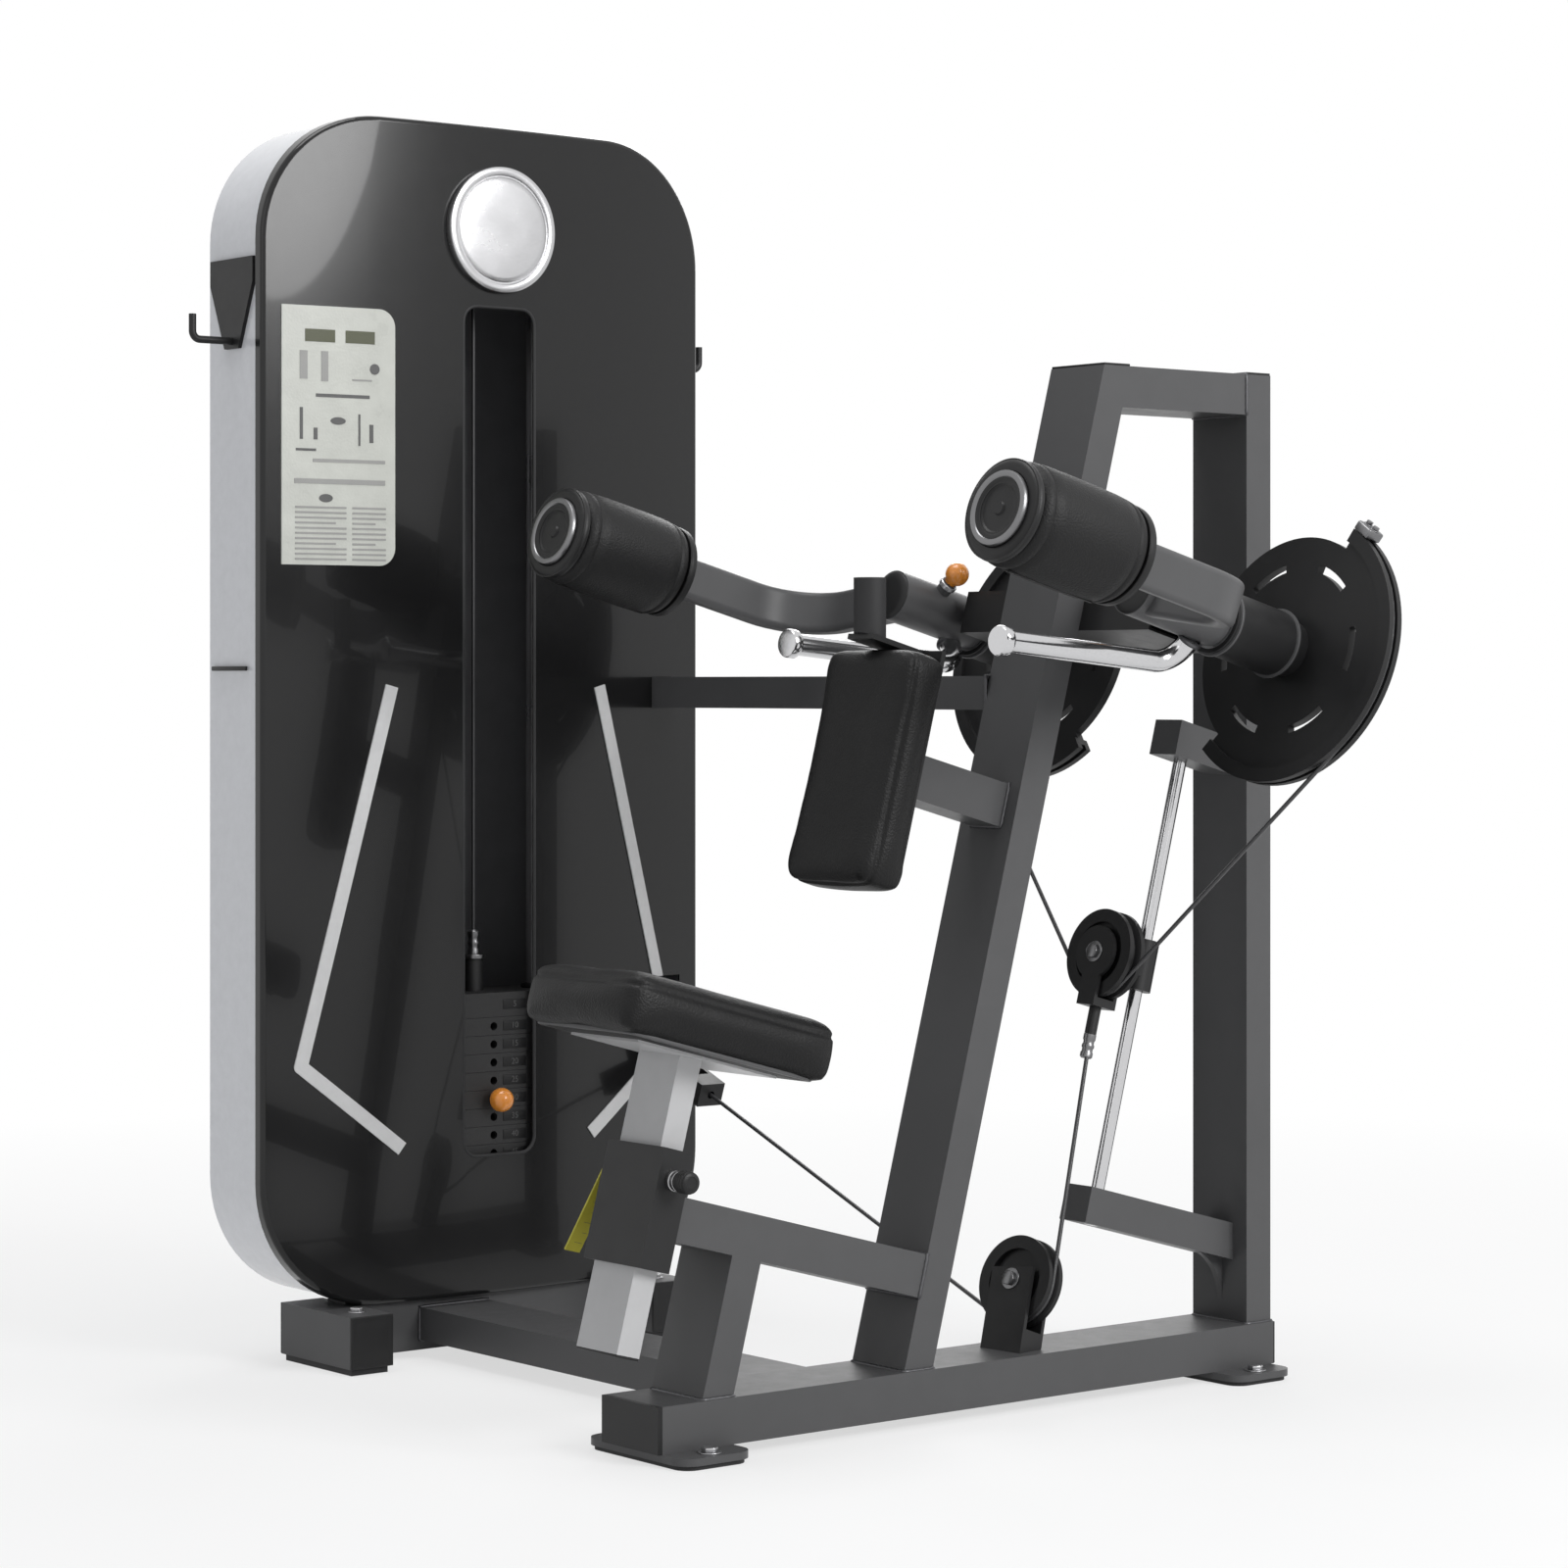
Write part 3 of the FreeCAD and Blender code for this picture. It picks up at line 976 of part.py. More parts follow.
def tower_frame():
    """The floor beams, the two uprights, the top beam, the link's plate and the link beams."""
    height = "(tower_low - base_low)"
    feet = []
    for side in ("-1", "1"):
        foot = tube(("base_foot_width", height), "tube_wall", "base_back - base_front", ALONG_X, "-90")
        feet.append(put(foot, f"tower_x + {side} * base_foot_half", "base_front", f"base_low + {height} / 2"))
    beam = tube((height, "base_beam_back - base_beam_front"), "tube_wall",
                "2 * base_foot_half - base_foot_width",
                turn="90")
    put(beam, "tower_x - base_foot_half + base_foot_width / 2", "(base_beam_front + base_beam_back) / 2",
        f"base_low + {height} / 2")
    node(joined(beam, *feet), "tower_base")

    beam_low = "(tower_beam_top - tower_beam_height)"
    reach = "(frame_half + frame_side / 2)"
    frame_front = "(frame_y - frame_side / 2)"
    parts = []
    for side in ("-1", "1"):
        post = tube(("frame_side", "frame_side"), "tube_wall", f"{beam_low} - tower_low")
        parts.append(put(post, f"tower_x + {side} * frame_half", "frame_y", "tower_low"))
    parts.append(block(f"tower_x - {reach}", f"tower_x + {reach}", frame_front, "frame_y + frame_side / 2",
                       beam_low, "tower_beam_top"))
    link_half = "(upper_link_size / 2 + link_plate_margin)"
    plate_back = f"({frame_front} - link_spacer)"
    inner = "(tower_x + frame_half - frame_side / 2)"
    link_low, link_high = f"upper_link_z - {link_half}", f"upper_link_z + {link_half}"
    parts.append(block(inner, "upper_link_x + upper_link_size / 2", f"{plate_back} - link_plate_thick",
                       plate_back, link_low, link_high))
    parts.append(block(inner, f"{inner} + frame_side", plate_back, frame_front, link_low, link_high))
    holes = [bar("stack_rod_radius + fit_gap", "tower_beam_top", f"tower_x + {side} * stack_rod_half",
                 "frame_y", "tower_low") for side in ("-1", "1")]
    holes.append(bar("cable_radius + cable_way", "2 * tower_beam_height", "tower_x", "frame_y",
                     f"{beam_low} - tower_beam_height / 2"))
    node(cut(joined(*parts), *holes), "tower_frame")

    link = tube(("upper_link_size", "upper_link_size"), "tube_wall",
                f"{plate_back} - link_plate_thick - post_width / 2", ALONG_X, "-90")
    node(put(link, "upper_link_x", "post_width / 2", "upper_link_z"), "upper_link_beam")
    link = tube(("lower_link_width", "lower_link_height"), "tube_wall", "base_beam_front - rail_width / 2",
                ALONG_X, "-90")
    put(link, "lower_link_x", "rail_width / 2", "lower_link_low + lower_link_height / 2")
    node(link, "lower_link_beam")


def weight_plate(index, stem_hole, rod_holes):
    """One plate of the stack, bored for the rods, the stem and the pin."""
    low = f"(stack_low + {index} * stack_step)"
    plate = block("tower_x - plate_long / 2", "tower_x + plate_long / 2", "frame_y - plate_deep / 2",
                  "frame_y + plate_deep / 2", low, f"{low} + weight_thick")
    pin_way = bar("pin_radius + fit_gap", "plate_deep / 2 + overrun", "tower_x",
                  "frame_y - plate_deep / 2 - overrun", f"{low} + weight_thick / 2", ALONG_Y)
    return cut(plate, stem_hole, *rod_holes, pin_way)


def weight_stack():
    """The rods, the bumpers, the plates that stay, those that are lifted, and the pin."""
    rods, bumpers, rod_holes = [], [], []
    for side in ("-1", "1"):
        x = f"tower_x + {side} * stack_rod_half"
        rods.append(bar("stack_rod_radius", "tower_beam_top - tower_low", x, "frame_y", "tower_low"))
        bumper = bar("bumper_radius", "stack_low - tower_low", x, "frame_y", "tower_low")
        bore = bar("stack_rod_radius + fit_gap", "stack_low", x, "frame_y", "tower_low - overrun")
        bumpers.append(cut(bumper, bore))
        rod_holes.append(bar("rod_hole_radius", "frame_top", x, "frame_y", "tower_low"))
    node(group(*rods), "stack_guide_rods")
    node(group(*bumpers), "stack_bumpers")

    lower_count, all_count = int(size["lower_count"]), int(size["lower_count"] + size["lifted_count"])
    wide = bar("stem_hole_radius", "frame_top", "tower_x", "frame_y", "tower_low")
    node(group(*[weight_plate(i, wide, rod_holes) for i in range(lower_count)]), "lower_plates")

    snug = bar("stem_radius + fit_gap", "frame_top", "tower_x", "frame_y", "tower_low")
    plates = [weight_plate(i, snug, rod_holes) for i in range(lower_count, all_count)]
    head_low = "(stack_low + (lower_count + lifted_count) * stack_step)"
    head = block("tower_x - plate_long / 2", "tower_x + plate_long / 2", "frame_y - plate_deep / 2",
                 "frame_y + plate_deep / 2", head_low, f"{head_low} + head_thick")
    stem = bar("stem_radius", f"{head_low} + head_thick + stem_above - stack_low - running_gap", "tower_x",
               "frame_y", "stack_low + running_gap")
    pin_z = "(stack_low + lower_count * stack_step + weight_thick / 2)"
    pin_way = bar("pin_radius + fit_gap", "plate_deep", "tower_x",
                  "frame_y - plate_deep / 2 - overrun", pin_z, ALONG_Y)
    node(group(cut(joined(head, stem), pin_way, *rod_holes), *plates), "lifted_stack")

    pin = bar("pin_radius", "pin_length", "tower_x", "pin_knob_y", pin_z, ALONG_Y)
    knob = ball("pin_knob_radius", "tower_x", "pin_knob_y", pin_z)
    node(joined(pin, knob), "weight_pin")


def slanted_strip(top, low):
    """A flat strip on the cover between two centre points given in X and Z."""
    along = (low - top).normalize()
    beside = Vector(along.z, 0, -along.x) * (size["strip_width"] / 2)
    corners = [top + beside, low + beside, low - beside, top - beside]
    face = Part.Face(Part.makePolygon(corners + corners[:1]))
    return face.extrude(Vector(0, -size["cover_bow"] - size["strip_thick"], 0))


def tower_trim():
    """The plain round badge, the placard, the white strips and the hooks on the sides."""
    badge = bar("badge_radius", "badge_thick + overrun", "tower_x",
                "tower_front - badge_thick", "badge_z", ALONG_Y)
    node(cut(badge, bow("fit_gap")), "badge_disc")
    left = "(tower_x - tower_width / 2 + cover_round + placard_edge)"
    card = block(left, f"{left} + placard_width", "tower_front - overrun", "tower_front + cover_bow",
                 "placard_low", "placard_high")
    middle = size["tower_x"] - (size["tower_width"] - size["placard_width"]) / 2
    card = rounded(card, size["placard_corner"], lambda edge: across(edge) and edge.BoundBox.XMin > middle)
    node(on_cover(card, "placard_thick"), "placard")

    strips = []
    behind = size["tower_front"] + size["cover_bow"]
    for side in (-1, 1):
        top, knee, foot = (Vector(size["tower_x"] + side * size[f"strip_{word}_x"], behind,
                                  size[f"strip_{word}_z"]) for word in ("top", "knee", "foot"))
        reach = size["cover_bow"] + size["strip_thick"]
        corner = Part.makeCylinder(size["strip_width"] / 2, reach, knee - ALONG_Y * reach, ALONG_Y)
        strips.append(slanted_strip(top, knee).fuse([slanted_strip(knee, foot), corner]))
    strips = on_cover(shape(Part.makeCompound(strips)), "strip_thick")
    node(cut(strips, entry_hole()), "chevron_strips")
    node(shape(Part.makeCompound([hook(-1), hook(1)])), "accessory_hooks")


def hook(side):
    """A tapering plate on the side shell, with a rod at its foot that ends in an upturned tip."""
    wall = size["tower_x"] + side * (size["tower_width"] / 2 - SHELL_SKIN[1])
    low, high = size["hook_z"], size["hook_z"] + size["hook_height"]
    band_low = high - size["hook_band"]
    band, foot = size["hook_band_width"] / 2, size["hook_foot_width"] / 2
    corners = [Vector(wall, size["hook_y"] + way, height) for way, height in
               ((-foot, low), (foot, low), (band, band_low), (band, high), (-band, high), (-band, band_low))]
    outward = ALONG_X * side
    plate = Part.Face(Part.makePolygon(corners + corners[:1])).extrude(outward * size["hook_thick"])
    start = Vector(wall, size["hook_y"], low + 2 * size["hook_radius"]) + outward * (size["hook_thick"] / 2)
    corner = start + outward * (size["hook_reach"] - size["hook_thick"] / 2)
    tip = corner + UP * size["hook_tip"]
    return plate.fuse(round_tube(size["hook_radius"], [start, corner, tip], [size["hook_bend"]]))


floor_frame()
upper_frame()
seat_group()
chest_group()
pivot_group()
for side_sign, side_word in ((-1, "right"), (1, "left")):
    arm(side_sign, side_word + "_arm")
    start_pin(side_sign, side_word + "_start_pin")
    handle(side_sign, side_word + "_handle")
    roller(side_sign, side_word)
    cam(side_sign, side_word + "_cam")
wheels_and_brackets()
lift_cable()
arm_cable()
carriage()
rod_and_brackets()
tower_frame()
weight_stack()
tower_covers()
tower_trim()
doc.recompute()

print(f"cable arcs: {CABLE_TURN:.1f} mm at the wheels, {CABLE_ON_CAM:.1f} mm on the cams")
failed = [made.Label for made in doc.Objects if {"Invalid", "Error"} & set(made.State)]
if failed:
    raise RuntimeError(f"These objects failed: {failed}")
for made in nodes:
    if made.Shape.isNull() or not made.Shape.isValid():
        raise RuntimeError(f"{made.Label} has no valid shape")
for made in nodes:
    made.Shape.exportStep(f"parts/{made.Label}.step")
print(f"{len(nodes)} nodes")
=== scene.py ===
"""The dressed lateral raise machine: finishes, pads, cables, knobs and small fittings.

All lengths are metres. The machine's upper frame leans by one angle: in its leaned frame u runs
along the tubes that fall towards the rear post, y as in the row frame, v along the leaning posts.
"""
import bmesh
import bpy
import json
from math import asin, atan2, copysign, cos, degrees, pi, radians, sin, sqrt, tan
from mathutils import Matrix, Vector


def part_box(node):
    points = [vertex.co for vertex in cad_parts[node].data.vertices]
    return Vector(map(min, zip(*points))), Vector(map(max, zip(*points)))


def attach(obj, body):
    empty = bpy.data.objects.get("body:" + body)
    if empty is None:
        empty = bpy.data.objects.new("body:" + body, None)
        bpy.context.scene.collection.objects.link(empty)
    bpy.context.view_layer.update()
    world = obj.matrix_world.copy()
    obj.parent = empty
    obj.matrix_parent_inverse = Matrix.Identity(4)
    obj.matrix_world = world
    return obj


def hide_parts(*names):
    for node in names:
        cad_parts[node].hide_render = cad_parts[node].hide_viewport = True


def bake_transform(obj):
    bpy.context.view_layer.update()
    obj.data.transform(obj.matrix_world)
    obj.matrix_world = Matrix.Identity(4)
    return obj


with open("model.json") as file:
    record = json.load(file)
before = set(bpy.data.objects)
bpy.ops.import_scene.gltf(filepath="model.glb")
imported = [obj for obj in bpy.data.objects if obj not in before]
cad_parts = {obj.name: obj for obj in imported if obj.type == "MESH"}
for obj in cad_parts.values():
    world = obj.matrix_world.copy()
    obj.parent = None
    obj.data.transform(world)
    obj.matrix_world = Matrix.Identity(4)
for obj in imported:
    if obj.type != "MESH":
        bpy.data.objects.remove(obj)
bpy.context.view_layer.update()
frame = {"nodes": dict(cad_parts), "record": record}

LEAN = radians(15)
LEANED = Matrix.Rotation(LEAN, 4, "Y")
ALONG_U = Vector((cos(LEAN), 0, -sin(LEAN)))
ALONG_V = Vector((sin(LEAN), 0, cos(LEAN)))
ALONG_Y, UP = Vector((0, 1, 0)), Vector((0, 0, 1))
SIDES = ((-1, "right"), (1, "left"))

# The camera, solved from the photograph
CAMERA_AT = (-2.9565, -3.393, 0.818)
CAMERA_HEADING = radians(-38.6)
CAMERA_LENS = 91.6
FRAME_PIXELS = 1600
HORIZON_ABOVE_MIDDLE = 100

# Tower
TOWER_X, TOWER_HALF, FRAME_Y = -0.160, 0.325, 0.730
COVER_Y, COVER_BOW, BACK_Y = 0.672, 0.025, 0.823
BOW_RADIUS = (TOWER_HALF ** 2 + COVER_BOW ** 2) / (2 * COVER_BOW)
SLOT_HALF, SLOT_LOW, SLOT_HIGH, SLOT_CORNER = 0.053, 0.240, 1.285, 0.020
FOOT_HALF, FOOT_FRONT, FOOT_BACK, FOOT_TOP = 0.2225, 0.617, 0.772, 0.070
PLATE_LOW, PLATE_STEP, PLATE_FRONT = 0.140, 0.0224, 0.685
LOWER_PLATES, PLATES = 7, 12
PIN_HEIGHT, STEM_TOP = 0.3078, 0.4848

# Frame
RAIL_TOP, RAIL_END, FRAME_TOP, POST_HALF = 0.063, 0.4565, 1.187, 0.045
SEAT_U, SEAT_LOW = -0.499, 0.312

# Pivots, wheels and cables
CAM_U, PIVOT_Y, PIVOT_V = 0.092, 0.205, 0.914
FLOAT_V, WHEEL_TURN, RIM_TURN, RIM_OUTER = 0.548, 0.0478, 0.1528, 0.157
CABLE_RADIUS = 0.0025
RIM_CABLE_END, ARM_TRAVEL = 54.4, 60
WHEEL_CHEEK, WHEEL_FACE = 0.018, 0.0119
# Where a cam's run is cut into lengths, as shares of its way to the floating wheel
RUN_SHARES = (0.0, 0.04, 0.18, 0.5, 0.82, 0.96, 1.0)

# Pads
PAD_SHRINK, PAD_SWELL, PAD_PRESSURE, PAD_VOXEL, CLOTH_STEPS = 0.975, 0.004, 1.6, 0.005, 20
SEAM_WIDTH, SEAM_DEPTH = 0.0035, 0.002
SEAT_SEAM, CHEST_SEAM = 0.361, -0.333

# Rollers, arms and pins
ROLLER_START, ROLLER_LENGTH, ROLLER_RADIUS, ROLLER_LIP = -0.517, 0.152, 0.057, 0.0135
PIN_RADIUS, PULL_V = 0.0049, 0.176
ARM_DROP, ARM_REACH = radians(7.3), 0.184

# Small sizes
MERGE_WITHIN = 0.00002
CAP_THICK, CAP_STANDS = 0.003, 0.0013
WELD_RADIUS, WELD_RIPPLE, WELD_WAIST = 0.0028, 0.0045, 0.74
SQUARE = ((-1, -1), (1, -1), (1, 1), (-1, 1))


def leaned(u, y, v):
    """A point of the leaned frame in the machine's frame."""
    return LEANED @ Vector((u, y, v))


# The lift cable's corners, where its straight lines would cross
LIFT_CORNERS = [leaned(CAM_U, 0, 0.4511)] + [Vector(corner) for corner in (
    (0.088, -0.048, 0.066), (0.108, FRAME_Y, 0.356), (0.108, FRAME_Y, 1.472), (TOWER_X, FRAME_Y, 1.472),
    (TOWER_X, FRAME_Y, 0.140))]


class Value:
    """A shader value. Sums and products of values add Math nodes."""

    def __init__(self, nodes, socket):
        self.nodes, self.socket = nodes, socket

    def _with(self, operation, first, second):
        return self.nodes.node("Math", {"operation": operation}, {0: first, 1: second})

    def __add__(self, other):
        return self._with("ADD", self, other)

    def __sub__(self, other):
        return self._with("SUBTRACT", self, other)

    def __rsub__(self, other):
        return self._with("SUBTRACT", other, self)

    def __mul__(self, other):
        return self._with("MULTIPLY", self, other)

    def __truediv__(self, other):
        return self._with("DIVIDE", self, other)

    def high(self, other):
        return self._with("MAXIMUM", self, other)

    def clipped(self):
        return self.nodes.node("Math", {"operation": "ADD", "use_clamp": True}, {0: self, 1: 0.0})

    def output(self, name):
        """Another output of the same node."""
        return Value(self.nodes, self.socket.node.outputs[name])

    __radd__ = __add__
    __rmul__ = __mul__


class Nodes:
    """A tree of shader nodes."""

    def __init__(self, tree):
        self.tree = tree

    def node(self, kind, settings=None, inputs=None, out=0):
        """Adds a node: its settings first, then the values or links of its sockets."""
        made = self.tree.nodes.new("ShaderNode" + kind)
        for name, value in (settings or {}).items():
            setattr(made, name, value)
        for name, value in (inputs or {}).items():
            self.feed(made.inputs[name], value)
        return Value(self, made.outputs[out]) if made.outputs else None

    def feed(self, socket, value):
        """Links a value to a socket, or sets the socket to a number or a colour."""
        if isinstance(value, Value):
            self.tree.links.new(value.socket, socket)
        elif isinstance(value, tuple) and len(value) == 3 and socket.type == "RGBA":
            socket.default_value = (*value, 1.0)
        else:
            socket.default_value = value

    def mixed(self, share, low, high):
        """A colour between two, by a share from 0 to 1."""
        return self.node("Mix", {"data_type": "RGBA"}, {"Factor": share, 6: low, 7: high}, out=2)

    def mixed_shader(self, share, first, second):
        return self.node("MixShader", {}, {0: share, 1: first, 2: second})

    def seen(self):
        """1 for a ray from the camera, or one that a mirror or glass passes on."""
        camera = self.node("LightPath", out="Is Camera Ray")
        return camera.high(camera.output("Is Glossy Ray")).high(camera.output("Is Transmission Ray"))


class Finish(Nodes):
    """A material, its nodes and the principled surface that they feed."""

    def __init__(self, name, metallic=0.0, specular=0.5, coat=0.0, coat_roughness=0.05):
        self.material = bpy.data.materials.new(name)
        self.material.use_nodes = True
        super().__init__(self.material.node_tree)
        self.surface = self.tree.nodes["Principled BSDF"]
        for socket, value in (("Metallic", metallic), ("Specular IOR Level", specular), ("Coat Weight", coat),
                              ("Coat Roughness", coat_roughness)):
            self.feed(self.surface.inputs[socket], value)
        self.place = self.node("TexCoord", out="Object")

    def stretched(self, x, y, z):
        """The piece's own coordinates, scaled along each axis."""
        return self.node("Mapping", {}, {"Vector": self.place, "Scale": (x, y, z)})

    def noise(self, scale, detail=3.0, rough=0.5, where=None):
        inputs = {"Vector": where or self.place, "Scale": scale, "Detail": detail, "Roughness": rough}
        return self.node("TexNoise", {}, inputs, out="Fac")

    def toned(self, share, colour, spread):
        """A colour that runs from darker to lighter by a spread, as a share goes from 0 to 1."""
        low, high = tuple(c * (1 - spread) for c in colour), tuple(min(1.0, c * (1 + spread)) for c in colour)
        return self.mixed(share, low, high)

    def cells(self, scale, feature="F1"):
        return self.node("TexVoronoi", {"feature": feature}, {"Vector": self.place, "Scale": scale},
                         out="Distance")

    def set(self, colour, roughness, height=None, depth=0.001, strength=0.5):
        """Feeds the surface its colour, its roughness and a height that becomes its bump."""
        self.feed(self.surface.inputs["Base Color"], colour)
        self.feed(self.surface.inputs["Roughness"], roughness)
        if height is not None:
            values = {"Strength": strength, "Distance": depth, "Height": height}
            self.feed(self.surface.inputs["Normal"], self.node("Bump", {}, values, out="Normal"))
        return self.material


def paint(name, colour, roughness, coat=0.0):
    """Powder coat: a fine orange peel, faint clouds and dusty rubbed patches."""
    finish = Finish(name, specular=0.3, coat=coat, coat_roughness=0.25)
    peel = finish.noise(1400, 2.0)
    clouds = finish.noise(5, 4.0)
    rubbed = finish.noise(38, 6.0, 0.65)
    tone = finish.toned((clouds * 0.6 + rubbed * 0.4).clipped(), colour, 0.16)
    return finish.set(tone, roughness + (rubbed - 0.5) * 0.22, peel, 0.0003, 0.25)


def metal(name, colour, roughness, grain=(1, 1, 1)):
    """Bare or plated steel with fine lines and faint smears."""
    finish = Finish(name, metallic=1.0)
    lines = finish.noise(260, 4.0, 0.6, finish.stretched(*grain))
    smears = finish.noise(16, 4.0)
    tone = finish.toned(lines, colour, 0.12)
    return finish.set(tone, roughness + (smears - 0.5) * roughness * 0.9, lines, 0.0002, 0.2)


def plastic(name, colour, roughness=0.42, grain=900, specular=0.3):
    """Moulded plastic with a fine spark-eroded grain."""
    finish = Finish(name, specular=specular)
    grained = finish.cells(grain)
    worn = finish.noise(22, 5.0, 0.6)
    return finish.set(finish.toned(worn, colour, 0.18), roughness + (worn - 0.5) * 0.2, grained, 0.0003, 0.3)


def gloss(name, colour, roughness, specular, coat):
    """Polished moulded plastic with dust, hairlines and a slow ripple."""
    finish = Finish(name, specular=specular, coat=coat, coat_roughness=0.03)
    dust = finish.noise(60, 8.0, 0.7)
    hair = finish.noise(420, 2.0, 0.5, finish.stretched(1.0, 1.0, 0.06))
    ripple = finish.noise(3.2, 2.0)
    tone = finish.toned(dust, colour, 0.1)
    return finish.set(tone, roughness + dust * 0.05 + hair * 0.03, ripple + hair * 0.004, 0.004, 0.12)


def vinyl(name, colour, roughness):
    """Upholstery vinyl: pebbled grain, fine creases and shine where it is sat on."""
    finish = Finish(name, specular=0.22)
    pebbles = finish.cells(520, "SMOOTH_F1")
    creases = finish.noise(90, 6.0, 0.7)
    shine = finish.noise(9, 3.0)
    tone = finish.toned((pebbles * 0.9 + creases * 0.4).clipped(), colour, 0.22)
    return finish.set(tone, roughness + (shine - 0.5) * 0.25, pebbles * -1.0 + creases * 0.35, 0.0012, 0.4)


def iron(name, colour):
    """Painted weight plates: a cast skin under thick paint, with rubbed spots."""
    finish = Finish(name)
    cast = finish.noise(180, 8.0, 0.7)
    spots = finish.noise(30, 6.0, 0.7)
    return finish.set(finish.toned(spots, colour, 0.25), 0.45 + spots * 0.2, cast, 0.0008, 0.5)


def sheath(name, colour):
    """A plastic sheath drawn tight over wire rope, so the strands show faintly."""
    finish = Finish(name, coat=0.3, coat_roughness=0.15)
    inputs = {"Vector": finish.place, "Scale": 260.0}
    strands = finish.node("TexWave", {"bands_direction": "DIAGONAL"}, inputs, out="Fac")
    grime = finish.noise(70, 5.0, 0.6)
    return finish.set(finish.toned(grime, colour, 0.3), 0.32 + grime * 0.2, strands, 0.0004, 0.5)


LOOKS = {name: finish(name, *values) for name, finish, *values in (
    ("frame_paint", paint, (0.078, 0.078, 0.080), 0.42),
    ("black_paint", paint, (0.013, 0.013, 0.0135), 0.42),
    ("steel", metal, (0.42, 0.42, 0.43), 0.3, (1, 1, 14)),
    ("dark_steel", metal, (0.2, 0.2, 0.205), 0.34, (1, 1, 14)),
    ("chrome", metal, (0.6, 0.6, 0.61), 0.12, (1, 20, 1)),
    ("silver_paint", paint, (0.46, 0.46, 0.465), 0.34, 0.3),
    ("weight_iron", iron, (0.011, 0.011, 0.0115)),
    ("black_plastic", plastic, (0.009, 0.009, 0.0095)),
    ("cover_gloss", gloss, (0.0095, 0.0095, 0.0098), 0.13, 0.26, 0.22),
    ("shell_grey", gloss, (0.77, 0.78, 0.81), 0.16, 0.4, 0.2),
    # Painted shade: the grey of the sheet that darkens the tower's inside, seen through the slot
    ("lining_grey", plastic, (0.15, 0.15, 0.155), 0.5),
    ("rubber", plastic, (0.02, 0.02, 0.021), 0.62, 600, 0.35),
    ("cable_sheath", sheath, (0.03, 0.03, 0.032)),
    ("upholstery", vinyl, (0.0062, 0.0062, 0.0064), 0.46),
    ("roller_foam", vinyl, (0.0095, 0.0095, 0.0098), 0.52),
    ("scale_yellow", plastic, (0.55, 0.5, 0.06), 0.4),
    ("badge_silver", metal, (0.52, 0.52, 0.53), 0.26, (1, 1, 8)),
    ("placard_white", plastic, (0.52, 0.53, 0.49), 0.3, 300),
    ("strip_white", gloss, (0.64, 0.64, 0.64), 0.2, 0.4, 0.1),
    ("knob_orange", gloss, (0.85, 0.3, 0.04), 0.2, 0.5, 0.4),
    ("print_grey", plastic, (0.09, 0.09, 0.09), 0.4),
    ("print_pale", plastic, (0.30, 0.30, 0.29), 0.4),
    ("print_olive", plastic, (0.075, 0.08, 0.045), 0.4),
    ("weld", metal, (0.1, 0.1, 0.105), 0.45),
)}


def finish_cad_nodes():
    """Gives each CAD node the finish of its slot."""
    for part in frame["record"]["subparts"]:
        thing = frame["nodes"][part["node"]]
        thing.data.materials.clear()
        thing.data.materials.append(LOOKS[part["material_slot"]])
        choose(thing)
        bpy.ops.object.shade_smooth_by_angle(angle=radians(30))


def deselect():
    """Leaves edit mode and selects nothing."""
    if bpy.context.mode != "OBJECT":
        bpy.ops.object.mode_set(mode="OBJECT")
    bpy.ops.object.select_all(action="DESELECT")


def choose(*things):
    """Selects some objects alone, the first one active."""
    deselect()
    for thing in things:
        thing.select_set(True)
    bpy.context.view_layer.objects.active = things[0]


def settle(thing, name, body, look, smooth=35):
    """Names a finished piece, puts its place in its mesh and sets what it rides on."""
    choose(thing)
    bpy.ops.object.transform_apply(location=True, rotation=True, scale=True)
    bpy.ops.object.shade_smooth_by_angle(angle=radians(smooth))
    thing.name = thing.data.name = name
    thing.data.materials.clear()
    thing.data.materials.append(LOOKS[look])
    if body:
        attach(thing, body)
    return thing


def join(things):
    """Makes one piece of some."""
    choose(*things)
    if len(things) > 1:
        bpy.ops.object.join()
    return bpy.context.view_layer.objects.active


def modified(thing, kind, **settings):
    """Adds a modifier, sets it up and applies it."""
    choose(thing)
    made = thing.modifiers.new(kind, kind)
    for name, value in settings.items():
        setattr(made, name, value)
    bpy.ops.object.modifier_apply(modifier=made.name)
    return thing


def turned_to(axis):
    """The rotation that takes Z to an axis."""
    return UP.rotation_difference(Vector(axis)).to_euler()


models = []


def model(thing):
    """Keeps a piece that was made at the origin, to be copied."""
    models.append(thing)
    return thing


def placed(original, place, axis=UP, rotation=None):
    """A copy of a model with its own mesh, moved to a place with its Z along an axis."""
    made = original.copy()
    made.data = original.data.copy()
    bpy.context.collection.objects.link(made)
    made.location = place
    made.rotation_euler = rotation or turned_to(axis)
    return made


def row_of(original, spots):
    """Copies of a model at (place, axis) spots, joined."""
    return join([placed(original, place, axis) for place, axis in spots])


def slab(size, place=(0, 0, 0), rotation=(0, 0, 0), bevel=0.0, segments=3):
    """A box with bevelled edges."""
    deselect()
    bpy.ops.mesh.primitive_cube_add(size=1, location=place, rotation=rotation, scale=size)
    made = bpy.context.object
    bpy.ops.object.transform_apply(location=False, rotation=False, scale=True)
    if bevel:
        modified(made, "BEVEL", width=bevel, segments=segments, limit_method="ANGLE")
    return made


